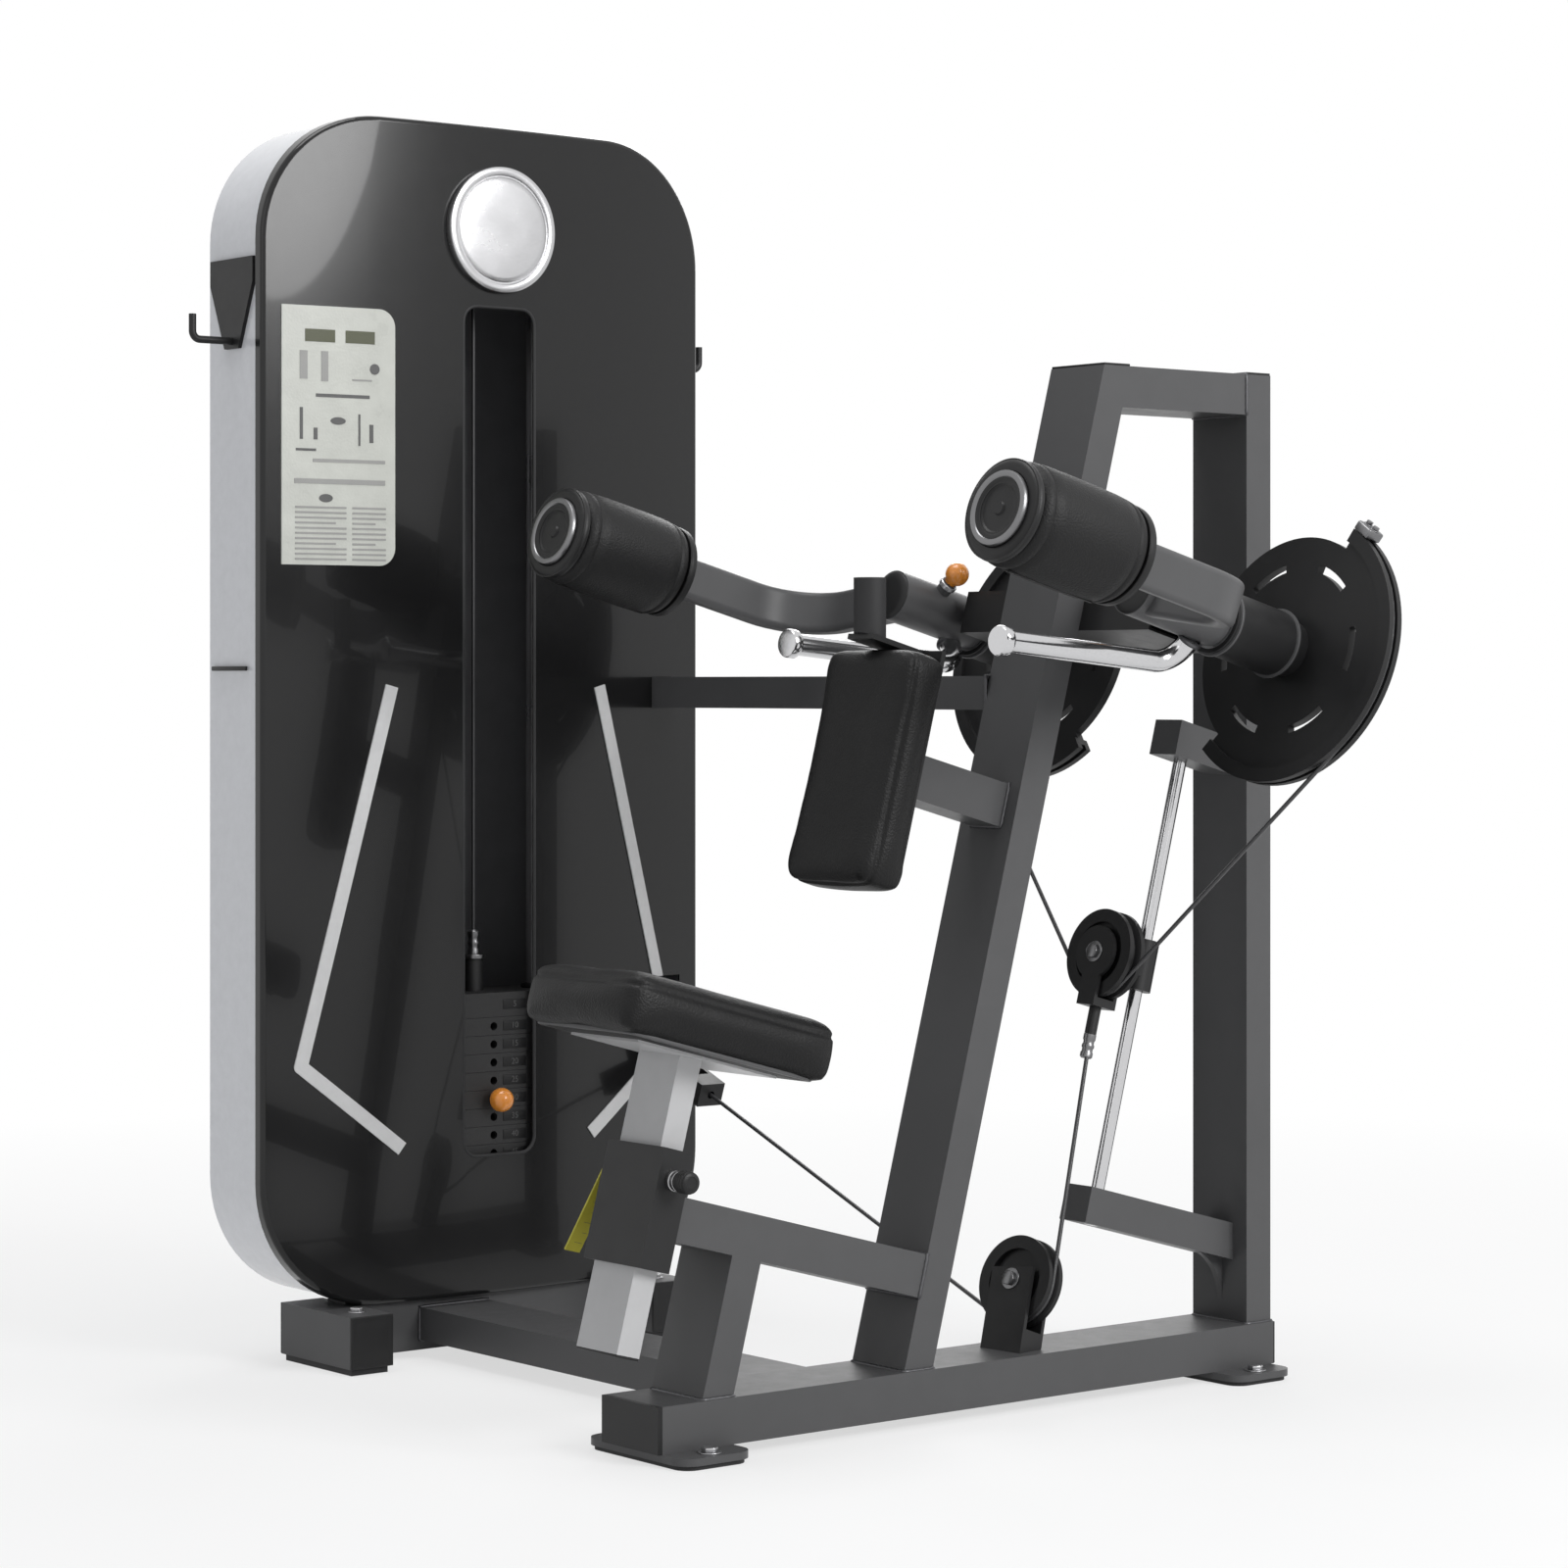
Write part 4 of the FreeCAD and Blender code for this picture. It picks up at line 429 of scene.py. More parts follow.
def sealed(made, place=(0, 0, 0), rotation=(0, 0, 0)):
    """Merges what touches, points the faces outwards, and leaves edit mode with the piece in its place."""
    bpy.ops.mesh.select_all(action="SELECT")
    bpy.ops.mesh.remove_doubles(threshold=MERGE_WITHIN)
    bpy.ops.mesh.normals_make_consistent(inside=False)
    bpy.ops.object.mode_set(mode="OBJECT")
    made.location, made.rotation_euler = place, rotation
    return made


def lathe(profile, place=(0, 0, 0), axis=UP, steps=48):
    """Draws an outline of (radius, height) points on from one vertex, and spins it about an axis."""
    deselect()
    radius, height = profile[0]
    bpy.ops.mesh.primitive_plane_add(size=1)
    made = bpy.context.object
    bpy.ops.object.mode_set(mode="EDIT")
    bpy.ops.mesh.select_mode(type="VERT")
    bpy.ops.mesh.merge(type="CENTER")
    bpy.ops.transform.translate(value=(radius, 0, height))
    for (radius, height), (next_radius, next_height) in zip(profile, profile[1:]):
        step = (next_radius - radius, 0, next_height - height)
        bpy.ops.mesh.extrude_region_move(TRANSFORM_OT_translate={"value": step})
    bpy.ops.mesh.select_all(action="SELECT")
    bpy.ops.mesh.spin(steps=steps, angle=2 * pi, center=(0, 0, 0), axis=(0, 0, 1))
    return sealed(made, place, turned_to(axis))


def round_edge(radius, bend, height, up=1):
    """Four outline points of a rounded rim at a radius and height. Up is -1 for a lower rim."""
    turns = [radians(a) for a in (0, 30, 60, 90)][::up]
    return [(radius - bend + bend * cos(t), height - up * bend * (1 - sin(t))) for t in turns]


def disc(radius, thick, place=(0, 0, 0), axis=UP, bend=0.0008, steps=40):
    """A washer or cap: a solid disc with rounded rims that stands on a place."""
    profile = [(0, 0)] + round_edge(radius, bend, 0, -1) + round_edge(radius, bend, thick) + [(0, thick)]
    return lathe(profile, place, axis, steps)


def bolt(radius, thick):
    """A hexagon head on a washer, its crown turned down to a round."""
    washer = disc(radius * 1.35, thick * 0.22, bend=thick * 0.08, steps=28)
    deselect()
    bpy.ops.mesh.primitive_cylinder_add(vertices=6, radius=radius, depth=thick * 0.78,
                                        location=(0, 0, thick * 0.61))
    head = modified(bpy.context.object, "BEVEL", width=radius * 0.12, segments=2, limit_method="ANGLE")
    return model(join([washer, head]))


def rod_between(start, end, radius):
    """A round rod from one point to another."""
    along = Vector(end) - Vector(start)
    return disc(radius, along.length, start, along, radius * 0.2, 20)


def soft_form(node, name, body):
    """A pad grown from its solid: remeshed, blown up as cloth by a little at most, and smoothed."""
    pad = bpy.data.objects.new(name, frame["nodes"][node].data.copy())
    bpy.context.collection.objects.link(pad)
    choose(pad)
    bpy.ops.object.mode_set(mode="EDIT")
    sealed(pad)
    low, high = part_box(node)
    centre = (Vector(low) + Vector(high)) / 2
    for vertex in pad.data.vertices:
        vertex.co = centre + (vertex.co - centre) * PAD_SHRINK
    modified(pad, "REMESH", mode="VOXEL", voxel_size=PAD_VOXEL)
    before = [vertex.co.copy() for vertex in pad.data.vertices]
    cloth = pad.modifiers.new("filling", "CLOTH")
    cloth.settings.use_pressure = True
    cloth.settings.uniform_pressure_force = PAD_PRESSURE
    cloth.settings.effector_weights.gravity = 0
    scene = bpy.context.scene
    for step in range(1, CLOTH_STEPS + 1):
        scene.frame_set(step)
    bpy.ops.object.modifier_apply(modifier=cloth.name)
    scene.frame_set(1)
    for vertex, start in zip(pad.data.vertices, before):
        moved = vertex.co - start
        if moved.length > PAD_SWELL:
            vertex.co = start + moved.normalized() * PAD_SWELL
    modified(pad, "CORRECTIVE_SMOOTH", iterations=8, use_only_smooth=True)
    modified(pad, "SUBSURF", levels=1, render_levels=1)
    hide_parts(node)
    settle(pad, name, body, "upholstery", smooth=80)
    return pad


def sew(pad, normal, height):
    """Draws a sewn line into a pad where it crosses the plane at a height along a normal."""
    normals = [vertex.normal.copy() for vertex in pad.data.vertices]
    for vertex, outward in zip(pad.data.vertices, normals):
        away = abs(vertex.co.dot(normal) - height) / SEAM_WIDTH
        if away < 1:
            vertex.co -= outward * SEAM_DEPTH * (1 - away * away)


def pick(made, kind, test):
    """Opens a piece for editing, with the edges or faces that pass a test selected."""
    bpy.ops.object.mode_set(mode="EDIT")
    bpy.ops.mesh.select_mode(type=kind)
    bpy.ops.mesh.select_all(action="DESELECT")
    form = bmesh.from_edit_mesh(made.data)
    for item in form.edges if kind == "EDGE" else form.faces:
        item.select_set(test(item))
    bmesh.update_edit_mesh(made.data)


def make_pads():
    """The seat cushion and the chest pad with their piping, each on its board."""
    sew(soft_form("seat_cushion", "seat_pad", "seat"), ALONG_V, SEAT_SEAM)
    sew(soft_form("chest_pad", "chest_pad_cover", "root"), ALONG_U, CHEST_SEAM)
    board("seat_board", "seat", (-0.494, 0, SEAT_LOW), (0.256, 0.174, 0.004), "frame_paint")
    board("chest_board", "root", (-0.2895, 0, 0.6665), (0.008, 0.122, 0.235), "black_plastic")


def board(name, body, place, size, look):
    """The laminated board under a pad, with round corners."""
    flat = size.index(min(size))

    def crosses(edge):
        along = edge.verts[1].co - edge.verts[0].co
        return abs(along[flat]) > 0.9 * along.length

    made = slab(size)
    pick(made, "EDGE", crosses)
    bpy.ops.mesh.bevel(offset=0.014, segments=5)
    bpy.ops.object.mode_set(mode="OBJECT")
    modified(made, "BEVEL", width=0.001, segments=2, limit_method="ANGLE")
    made.location, made.rotation_euler = leaned(*place), (0, LEAN, 0)
    settle(made, name, body, look)


def roller_models():
    """The foam, the end rings and the cap of a roller, each about its own axis from its front end."""
    inner, outer, length = 0.0203, ROLLER_RADIUS, ROLLER_LENGTH
    half = [(inner, 0.0004), (outer - 0.016, 0.0004), (outer - 0.0085, 0.0014), (outer - 0.0036, 0.0044),
            (outer - 0.0012, 0.0095), (outer - 0.0006, 0.0145), (outer - 0.0016, 0.0158),
            (outer - 0.0016, 0.0166), (outer - 0.0004, 0.0180), (outer + 0.0004, 0.0300),
            (outer + 0.0008, 0.0550)]
    profile = half + [(r, length - z) for r, z in reversed(half)]
    seam = slab((0.0016, 0.004, length - 0.034), (outer + 0.0004, 0, length / 2), bevel=0.0006)
    foam = join([lathe(profile + [half[0]], steps=72), seam])
    ring = lathe([(0.0325, 0), (0.0338, -0.0014), (0.0366, -0.0020), (0.0392, -0.0013), (0.0402, 0.0002),
                  (0.0402, 0.0050), (0.0325, 0.0050), (0.0325, 0)], steps=64)
    lip = lathe([(0.0402, 0.0050), (0.0412, 0.0040), (0.0480, 0.0036), (0.0516, 0.0046), (0.0538, 0.0072),
                 (0.0546, 0.0105), (0.0538, 0.0135), (0.0402, 0.0140), (0.0402, 0.0050)], steps=64)
    back = lathe([(0.022, -0.0006), (0.0536, -0.0006), (0.0546, 0.0036), (0.0536, 0.0086), (0.022, 0.0092),
                  (0.022, -0.0006)], (0, 0, ROLLER_LIP + length), steps=56)
    dish = lathe([(0, 0.0010), (0.0060, 0.0010), (0.0075, 0.0028), (0.0235, 0.0030), (0.0262, 0.0010),
                  (0.0300, -0.0004), (0.0328, -0.0004), (0.0328, 0.0020), (0, 0.0045), (0, 0.0010)], steps=56)
    return model(foam), model(ring), model(join([lip, back])), model(dish)


def make_rollers():
    """Foam rollers: a skin with turned-in ends, a sewn line near each end and a flat seam along it."""
    foam, ring, ends, dish = roller_models()
    for side, word in SIDES:
        across = side * (PIVOT_Y + ARM_REACH * cos(ARM_DROP)), PIVOT_V - ARM_REACH * sin(ARM_DROP)
        front = leaned(ROLLER_START - ROLLER_LIP, *across)
        body = word + "_roller"
        roll = placed(foam, leaned(ROLLER_START, *across), ALONG_U)
        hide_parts(body)
        settle(roll, body + "_foam", body, "roller_foam", smooth=50)
        settle(placed(ring, front, ALONG_U), body + "_ring", body, "dark_steel")
        settle(placed(ends, front, ALONG_U), body + "_ends", body, "black_plastic")
        settle(placed(dish, front, ALONG_U), body + "_cap", body, "black_plastic")


def ball_knob(radius):
    """A moulded ball with a flat foot and a small flat at its top."""
    turns = [radians(a) for a in range(-56, 81, 8)]
    profile = [(0, -radius * 1.03), (radius * 0.5, -radius * 1.03), (radius * 0.52, -radius * 0.97)]
    profile += [(radius * cos(t), radius * sin(t)) for t in turns]
    return lathe(profile + [(0, radius * 0.985)], steps=40)


def make_knobs():
    """The ball heads and stems of the start pins and the weight pin, and the seat's pull knob."""
    knob = model(ball_knob(0.0141))
    collar = model(lathe([(0.0088, 0), (0.0104, 0), (0.0110, 0.0008), (0.0110, 0.0052), (0.0102, 0.0062),
                          (0.0088, 0.0062), (0.0088, 0)], steps=36))
    tilt = radians(45)
    for side, word in SIDES:
        radial = LEANED @ Vector((0, -side * sin(tilt), cos(tilt)))
        foot = leaned(-0.106, side * PIVOT_Y, PIVOT_V)
        pin = word + "_start_pin"
        ball = placed(knob, foot + radial * 0.058, radial)
        stem = rod_between(foot + radial * 0.0154, foot + radial * 0.050, PIN_RADIUS)
        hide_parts(pin)
        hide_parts(pin)
        settle(ball, pin + "_knob", pin, "knob_orange", smooth=60)
        settle(stem, pin + "_stem", pin, "steel")
        settle(placed(collar, foot + radial * 0.0368, radial), pin + "_collar", word + "_arm", "steel")
    ball = placed(model(ball_knob(0.0149)), (TOWER_X, 0.668, PIN_HEIGHT), -ALONG_Y)
    stem = join([rod_between((TOWER_X, 0.669, PIN_HEIGHT), (TOWER_X, 0.7258, PIN_HEIGHT), PIN_RADIUS),
                 disc(0.0078, 0.0030, (TOWER_X, 0.6815, PIN_HEIGHT), ALONG_Y)])
    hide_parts("weight_pin")
    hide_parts("weight_pin")
    settle(ball, "weight_pin_knob", "weight_pin", "knob_orange", smooth=60)
    settle(stem, "weight_pin_stem", "weight_pin", "chrome")
    make_pull_knob()


def make_pull_knob():
    """The seat's pull pin: a stem and a knob with finger grooves round it."""
    place, away = leaned(SEAT_U, -0.0643, PULL_V), -ALONG_Y
    profile = [(0, 0), (0.0102, 0)]
    for i in range(4):
        start = 0.0015 + i * 0.0036
        profile += [(0.0119, start), (0.0121, start + 0.0012), (0.0119, start + 0.0022),
                    (0.0110, start + 0.0029)]
    profile += [(0.0112, 0.0166), (0.0098, 0.0177), (0.0070, 0.0180), (0.0064, 0.0174), (0, 0.0172)]
    knob = lathe(profile, place, away, 40)
    stem = rod_between(place - away * 0.026, place + away * 0.002, PIN_RADIUS)
    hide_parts("seat_pull_pin")
    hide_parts("seat_pull_pin")
    settle(knob, "seat_pull_knob", "seat_pull_pin", "black_plastic")
    settle(stem, "seat_pull_stem", "seat_pull_pin", "steel")
    bush = lathe([(0.0056, 0), (0.0108, 0), (0.0112, 0.0012), (0.0112, 0.0050), (0.0104, 0.0058),
                  (0.0104, 0.0106), (0.0098, 0.0112), (0.0056, 0.0112), (0.0056, 0)],
                 leaned(SEAT_U, -0.0502, PULL_V), away, 40)
    settle(bush, "seat_pull_bush", "root", "steel")


def cable_along(start, legs):
    """A tube drawn from a circle along some legs.

    A leg is the point that a straight run goes to, or a turn's centre, axis and angle.
    """
    here = Vector(start)
    first = legs[0]
    if len(first) == 3:
        direction = Vector(first[1]).cross(here - Vector(first[0])) * copysign(1, first[2])
    else:
        direction = Vector(first[0]) - here
    deselect()
    bpy.ops.mesh.primitive_circle_add(vertices=12, radius=CABLE_RADIUS, location=here,
                                      rotation=turned_to(direction))
    made = bpy.context.object
    bpy.ops.object.transform_apply(location=True, rotation=True, scale=True)
    bpy.ops.object.mode_set(mode="EDIT")
    bpy.ops.mesh.select_all(action="SELECT")
    for leg in legs:
        if len(leg) == 3:
            centre, axis, angle = Vector(leg[0]), Vector(leg[1]), leg[2]
            steps = max(4, round(abs(angle) / radians(7)))
            # Spin turns the other way round its axis than a rotation does
            bpy.ops.mesh.spin(steps=steps, angle=-angle, center=centre, axis=axis)
            here = centre + Matrix.Rotation(angle, 4, axis) @ (here - centre)
        else:
            bpy.ops.mesh.extrude_region_move(TRANSFORM_OT_translate={"value": Vector(leg[0]) - here})
            here = Vector(leg[0])
    bpy.ops.mesh.select_all(action="SELECT")
    bpy.ops.mesh.remove_doubles(threshold=MERGE_WITHIN)
    bpy.ops.mesh.fill_holes(sides=0)
    return sealed(made)


def straight(start, end, pieces):
    """A cable's straight run in even lengths."""
    return cable_along(start, [(start + (end - start) * i / pieces,) for i in range(1, pieces + 1)])


def sleeve(place, axis, radius, length):
    """A pressed ferrule with two crimped waists."""
    waist, bend = radius * 0.86, radius * 0.25
    profile = [(0, 0), (radius - bend, 0), (radius, bend), (radius, length * 0.26), (waist, length * 0.32),
               (waist, length * 0.42), (radius, length * 0.48), (radius, length * 0.56),
               (waist, length * 0.62), (waist, length * 0.72), (radius, length * 0.78),
               (radius, length - bend), (radius - bend, length), (0, length)]
    return lathe(profile, place, axis, 28)


def make_cable_run(word, at_cam, at_wheel):
    """The run of cable from a cam to the floating wheel, in lengths.

    A stretch of its own is worked out for each length, but nothing uses it.
    """
    reach = at_wheel - at_cam

    def eased(share):
        """How far along a smooth blend this share of the motion lies."""
        return 0.5 - sin(asin(1 - 2 * share) / 3)

    for number, (low, high) in enumerate(zip(RUN_SHARES, RUN_SHARES[1:]), 1):
        name = f"{word}_cable_run_{number}"
        run = straight(at_cam + reach * low, at_cam + reach * high, 4)
        settle(run, name, None, "cable_sheath")
        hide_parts("arm_cable")
        stretch = (high - low) / (eased(high) - eased(low))
        start = at_cam + reach * (low - eased(low) * stretch)
        tuple(start + reach * stretch)
        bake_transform(run)


def make_arm_cables():
    """The cable in the cams' plane: on each rim, straight to the floating wheel, and under it."""
    axle = Vector((0, 0, FLOAT_V))
    feet = []
    for side, word in SIDES:
        centre = Vector((0, side * PIVOT_Y, PIVOT_V))
        line = (centre - axle).normalized()
        lower = Vector((0, side * line.z, -abs(line.y)))
        part = -(RIM_TURN - WHEEL_TURN) / (centre - axle).length
        normal = line * part + lower * sqrt(1 - part * part)
        contact, foot = centre + normal * RIM_TURN, axle + normal * WHEEL_TURN
        feet.append(normal)
        at_cam, at_wheel = leaned(CAM_U, contact.y, contact.z), leaned(CAM_U, foot.y, foot.z)
        make_cable_run(word, at_cam, at_wheel)
        make_rim_cable(side, word, centre, degrees(atan2(normal.z, side * normal.y)))
    start = axle + feet[0] * WHEEL_TURN
    arc = cable_along(leaned(CAM_U, start.y, start.z),
                      [(leaned(CAM_U, 0, FLOAT_V), ALONG_U, feet[0].angle(feet[1]))])
    settle(arc, "float_wheel_cable", "carriage", "cable_sheath")


def make_rim_cable(side, word, centre, contact):
    """The stretch that lies in a cam's groove, from where it can first lift off up to its anchor."""
    def on_rim(heading, radius=RIM_TURN):
        turn = radians(heading)
        return leaned(CAM_U, centre.y + side * radius * cos(turn), centre.z + radius * sin(turn))
    first = contact - ARM_TRAVEL
    middle = leaned(CAM_U, centre.y, centre.z)
    turn = -side * radians(RIM_CABLE_END - first)
    arc = cable_along(on_rim(RIM_CABLE_END), [(middle, ALONG_U, turn)])
    settle(arc, word + "_rim_cable", word + "_arm", "cable_sheath")
    anchor = RIM_CABLE_END + 3
    outward = (on_rim(anchor) - middle).normalized()
    along = outward.cross(ALONG_U) * side
    block = slab((0.024, 0.025, 0.012), bevel=0.0025)
    facing = Matrix((ALONG_U, along, outward)).transposed().to_4x4()
    block.matrix_world = Matrix.Translation(on_rim(anchor, RIM_OUTER + 0.006)) @ facing
    settle(block, word + "_cable_anchor", word + "_arm", "dark_steel")
    top = on_rim(anchor, RIM_OUTER + 0.0115)
    screws = row_of(SCREW, [(top + along * way, outward) for way in (-0.0066, 0.0066)])
    settle(screws, word + "_anchor_screws", word + "_arm", "dark_steel")


def turn_of(before, corner, after):
    """How a cable goes round a corner's wheel: where it meets it, the wheel's centre, its axis and angle."""
    incoming, ahead = (corner - before).normalized(), (after - corner).normalized()
    inward = (ahead - incoming * ahead.dot(incoming)).normalized()
    angle = incoming.angle(ahead)
    meets = corner - incoming * (WHEEL_TURN * tan(angle / 2))
    return meets, meets + inward * WHEEL_TURN, incoming.cross(inward), angle


LIFT_TURNS = [turn_of(*LIFT_CORNERS[i:i + 3]) for i in range(4)]
WHEEL_AXLES = {name: (turn[1], turn[2].normalized()) for name, turn in
               zip(("lower_wheel", "entry_wheel", "top_wheel_outer", "top_wheel_inner"), LIFT_TURNS)}


def make_lift_cable():
    """The cable from the floating wheel down, under the rail's wheel and over the tower to the stack."""
    clamp, meets = LIFT_CORNERS[0], LIFT_TURNS[0][0]
    drop = straight(clamp, meets, 12)
    settle(drop, "carriage_cable", None, "cable_sheath")
    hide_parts("lift_cable")
    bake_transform(drop)
    legs = []
    for contact, centre, axis, angle in LIFT_TURNS:
        if legs:
            legs.append((contact,))
        legs.append((centre, axis, angle))
    settle(cable_along(meets, legs), "tower_cable", "root", "cable_sheath")
    down = Vector((TOWER_X, FRAME_Y, LIFT_TURNS[3][1].z))
    end = Vector((TOWER_X, FRAME_Y, STEM_TOP))
    fall = straight(down, end, 16)
    settle(fall, "stack_cable", None, "cable_sheath")
    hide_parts("drop_cable")
    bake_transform(fall)
    ferrules = join([sleeve(end - UP * 0.004, UP, 0.0085, 0.034),
                     disc(0.0155, 0.006, end - UP * 0.006, bend=0.0012)])
    settle(ferrules, "stack_ferrule", "weight_lift", "dark_steel")
    ferrule = sleeve(clamp + ALONG_V * 0.004, -ALONG_V, 0.0074, 0.030)
    settle(ferrule, "carriage_ferrule", "carriage", "dark_steel")


def closed_tube(name, points, radius, resolution, waist=1.0):
    """A tube along a closed line of points, drawn in to a waist at each second point."""
    data = bpy.data.curves.new(name, "CURVE")
    data.dimensions = "3D"
    data.bevel_depth, data.bevel_resolution = radius, resolution
    spline = data.splines.new("POLY")
    spline.points.add(len(points) - 1)
    for number, (point, place) in enumerate(zip(spline.points, points)):
        point.co = (*place, 1.0)
        point.radius = 1.0 if number % 2 else waist
    spline.use_cyclic_u = True
    made = bpy.data.objects.new(name, data)
    bpy.context.collection.objects.link(made)
    choose(made)
    bpy.ops.object.convert(target="MESH")
    return bpy.context.object


def weld_round(corners, name):
    """A weld bead round a joint: a rope of small overlapping ripples along a closed outline."""
    points = []
    for here, after in zip(corners, corners[1:] + corners[:1]):
        count = max(2, round((after - here).length / WELD_RIPPLE))
        points += [here.lerp(after, i / count) for i in range(count)]
    bead = closed_tube(name, points, WELD_RADIUS, 1, WELD_WAIST)
    settle(bead, name, "root", "weld", 60)


def outline(middle, across, up):
    """The corners of a rectangle from its middle and its two half sides."""
    return [middle + across * a + up * b for a, b in SQUARE]


def make_welds():
    """Weld beads where the frame's tubes meet, and the rings on the bearings' housings."""
    deep, beam, chest = ALONG_Y * POST_HALF, 0.024, 0.025

    def on_rail(u_low, u_high):
        """Corners where a leaning post meets the rail's top."""
        low, high = ((u + RAIL_TOP * sin(LEAN)) / cos(LEAN) for u in (u_low, u_high))
        return outline(Vector(((low + high) / 2, 0, RAIL_TOP)), Vector(((high - low) / 2, 0, 0)), deep)

    welds = {
        "front_post_weld": on_rail(-0.127, -0.087),
        "brace_weld": on_rail(-0.397, -0.357),
        "rear_post_weld": outline(Vector((0.4365, 0, RAIL_TOP)), Vector((0.02, 0, 0)), deep),
        "seat_tube_weld": outline(leaned(-0.127, 0, 0.138), deep, ALONG_V * beam),
        "sleeve_weld": outline(leaned(-0.479, 0, 0.138), deep, ALONG_V * beam),
        "chest_tube_weld": outline(leaned(-0.127, 0, 0.673), ALONG_Y * chest, ALONG_V * chest),
        "backplate_weld": outline(leaned(-0.281, 0, 0.673), ALONG_Y * chest, ALONG_V * chest),
        "top_beam_weld": outline(Vector((0.4165, 0, 1.163)), deep, UP * beam),
        "upper_link_weld": outline(Vector((0.104, POST_HALF, 0.810)), Vector((0.0195, 0, 0)), UP * 0.0195),
        "lower_link_weld": outline(Vector((-0.216, 0.05, 0.04)), Vector((0.05, 0, 0)), UP * 0.02),
        "tower_link_weld": outline(Vector((-0.216, 0.69, 0.04)), Vector((0.05, 0, 0)), UP * 0.02),
    }
    for name, corners in welds.items():
        weld_round(corners, name)
    ring = model(lathe([(0.0378, -0.0022), (0.0404, -0.0015), (0.0408, 0), (0.0404, 0.0015), (0.0378, 0.0022),
                        (0.0378, -0.0022)], steps=56))
    for side, word in SIDES:
        for u, end in ((-0.028, "front"), (0.064, "back")):
            collar = placed(ring, leaned(u, side * PIVOT_Y, PIVOT_V), ALONG_U)
            settle(collar, f"{word}_housing_{end}_ring", "root", "frame_paint")


def cap_plate(name, width, length, place, rotation=(0, 0, 0), body="root"):
    """A moulded plug for an open tube: a crowned plate with a shallow dish."""
    made = slab((width, length, CAP_THICK))
    pick(made, "FACE", lambda face: face.normal.z > 0.9)
    bpy.ops.mesh.inset(thickness=0.005)
    bpy.ops.transform.translate(value=(0, 0, -CAP_THICK * 0.25))
    bpy.ops.mesh.inset(thickness=0.003)
    bpy.ops.transform.translate(value=(0, 0, CAP_THICK * 0.15))
    bpy.ops.object.mode_set(mode="OBJECT")
    modified(made, "BEVEL", width=CAP_THICK * 0.3, segments=3, limit_method="ANGLE")
    made.location, made.rotation_euler = place, rotation
    settle(made, name, body, "black_plastic")


def make_caps():
    """The plugs of the frame's, the tower's and the seat's open tubes."""
    quarter = pi / 2
    cap_plate("rear_post_cap", 0.0396, 0.0896, (0.4365, 0, FRAME_TOP + CAP_STANDS))
    cap_plate("front_post_cap", 0.0408, 0.0896, (0.2073, 0, FRAME_TOP + CAP_STANDS))
    cap_plate("rail_rear_cap", 0.0496, 0.0996, (RAIL_END + CAP_STANDS, 0, 0.038), (0, quarter, 0))
    for side, word in SIDES:
        for end, y, turn in (("front", FOOT_FRONT - CAP_STANDS, quarter),
                             ("back", FOOT_BACK + CAP_STANDS, -quarter)):
            cap_plate(f"tower_foot_{end}_cap_{word}", 0.0586, 0.0616,
                      (TOWER_X + side * FOOT_HALF, y, 0.039), (turn, 0, 0))
    cap_plate("seat_post_cap", 0.0296, 0.0716, leaned(SEAT_U, 0, -0.0134), (pi, LEAN, 0), "seat")


def make_fasteners():
    """Bolts at the floor, the tower's feet and the wheels, the wheels' shields and the arms' shaft ends."""
    anchors = [((x, y, 0.013), UP) for x in (-0.4045, 0.4045) for y in (-0.071, 0.071)]
    settle(row_of(bolt(0.0095, 0.0065), anchors), "anchor_bolts", "root", "steel")
    feet = [((TOWER_X + side * FOOT_HALF, 0.650, FOOT_TOP), UP) for side, _ in SIDES]
    settle(row_of(bolt(0.0075, 0.006), feet), "tower_foot_bolts", "root", "steel")
    wheel_bolt = bolt(0.0092, 0.0068)
    shield = model(lathe([(0.0088, 0), (0.0132, 0), (0.0136, 0.0006), (0.0120, 0.0011), (0.0096, 0.0011),
                          (0.0088, 0)], steps=40))
    for name, (place, axis) in WHEEL_AXLES.items():
        ends = [(place + axis * (WHEEL_CHEEK * way), axis * way) for way in (-1, 1)]
        settle(row_of(wheel_bolt, ends), name + "_bolts", "root", "dark_steel")
        # The entry wheel's bracket stands close behind it, so its far side has no shield
        for way, word in ((-1, "near"), (1, "far"))[:1 if name == "entry_wheel" else 2]:
            cover = placed(shield, place + axis * (WHEEL_FACE * way), axis * way)
            settle(cover, f"{name}_{word}_shield", name, "dark_steel")
    ends = [(leaned(CAM_U + WHEEL_CHEEK * way, 0, FLOAT_V), ALONG_U * way) for way in (-1, 1)]
    settle(row_of(wheel_bolt, ends), "float_wheel_bolts", "carriage", "dark_steel")
    shaft_end = model(join([disc(0.0225, 0.0035, bend=0.001), placed(bolt(0.0105, 0.008), (0, 0, 0.0035))]))
    cap = model(lathe([(0, -0.0030), (0.0180, -0.0030), (0.0262, -0.0022), (0.0286, -0.0004),
                       (0.0290, 0.0012), (0, 0.0012)], steps=56))
    for side, word in SIDES:
        pivot = (side * PIVOT_Y, PIVOT_V)
        body = word + "_arm"
        settle(placed(shaft_end, leaned(0.1104, *pivot), ALONG_U), word + "_shaft_bolt", body, "steel")
        settle(placed(cap, leaned(-0.1643, *pivot), ALONG_U), word + "_hub_cap", body, "black_plastic")
        make_handle_end(side, word)


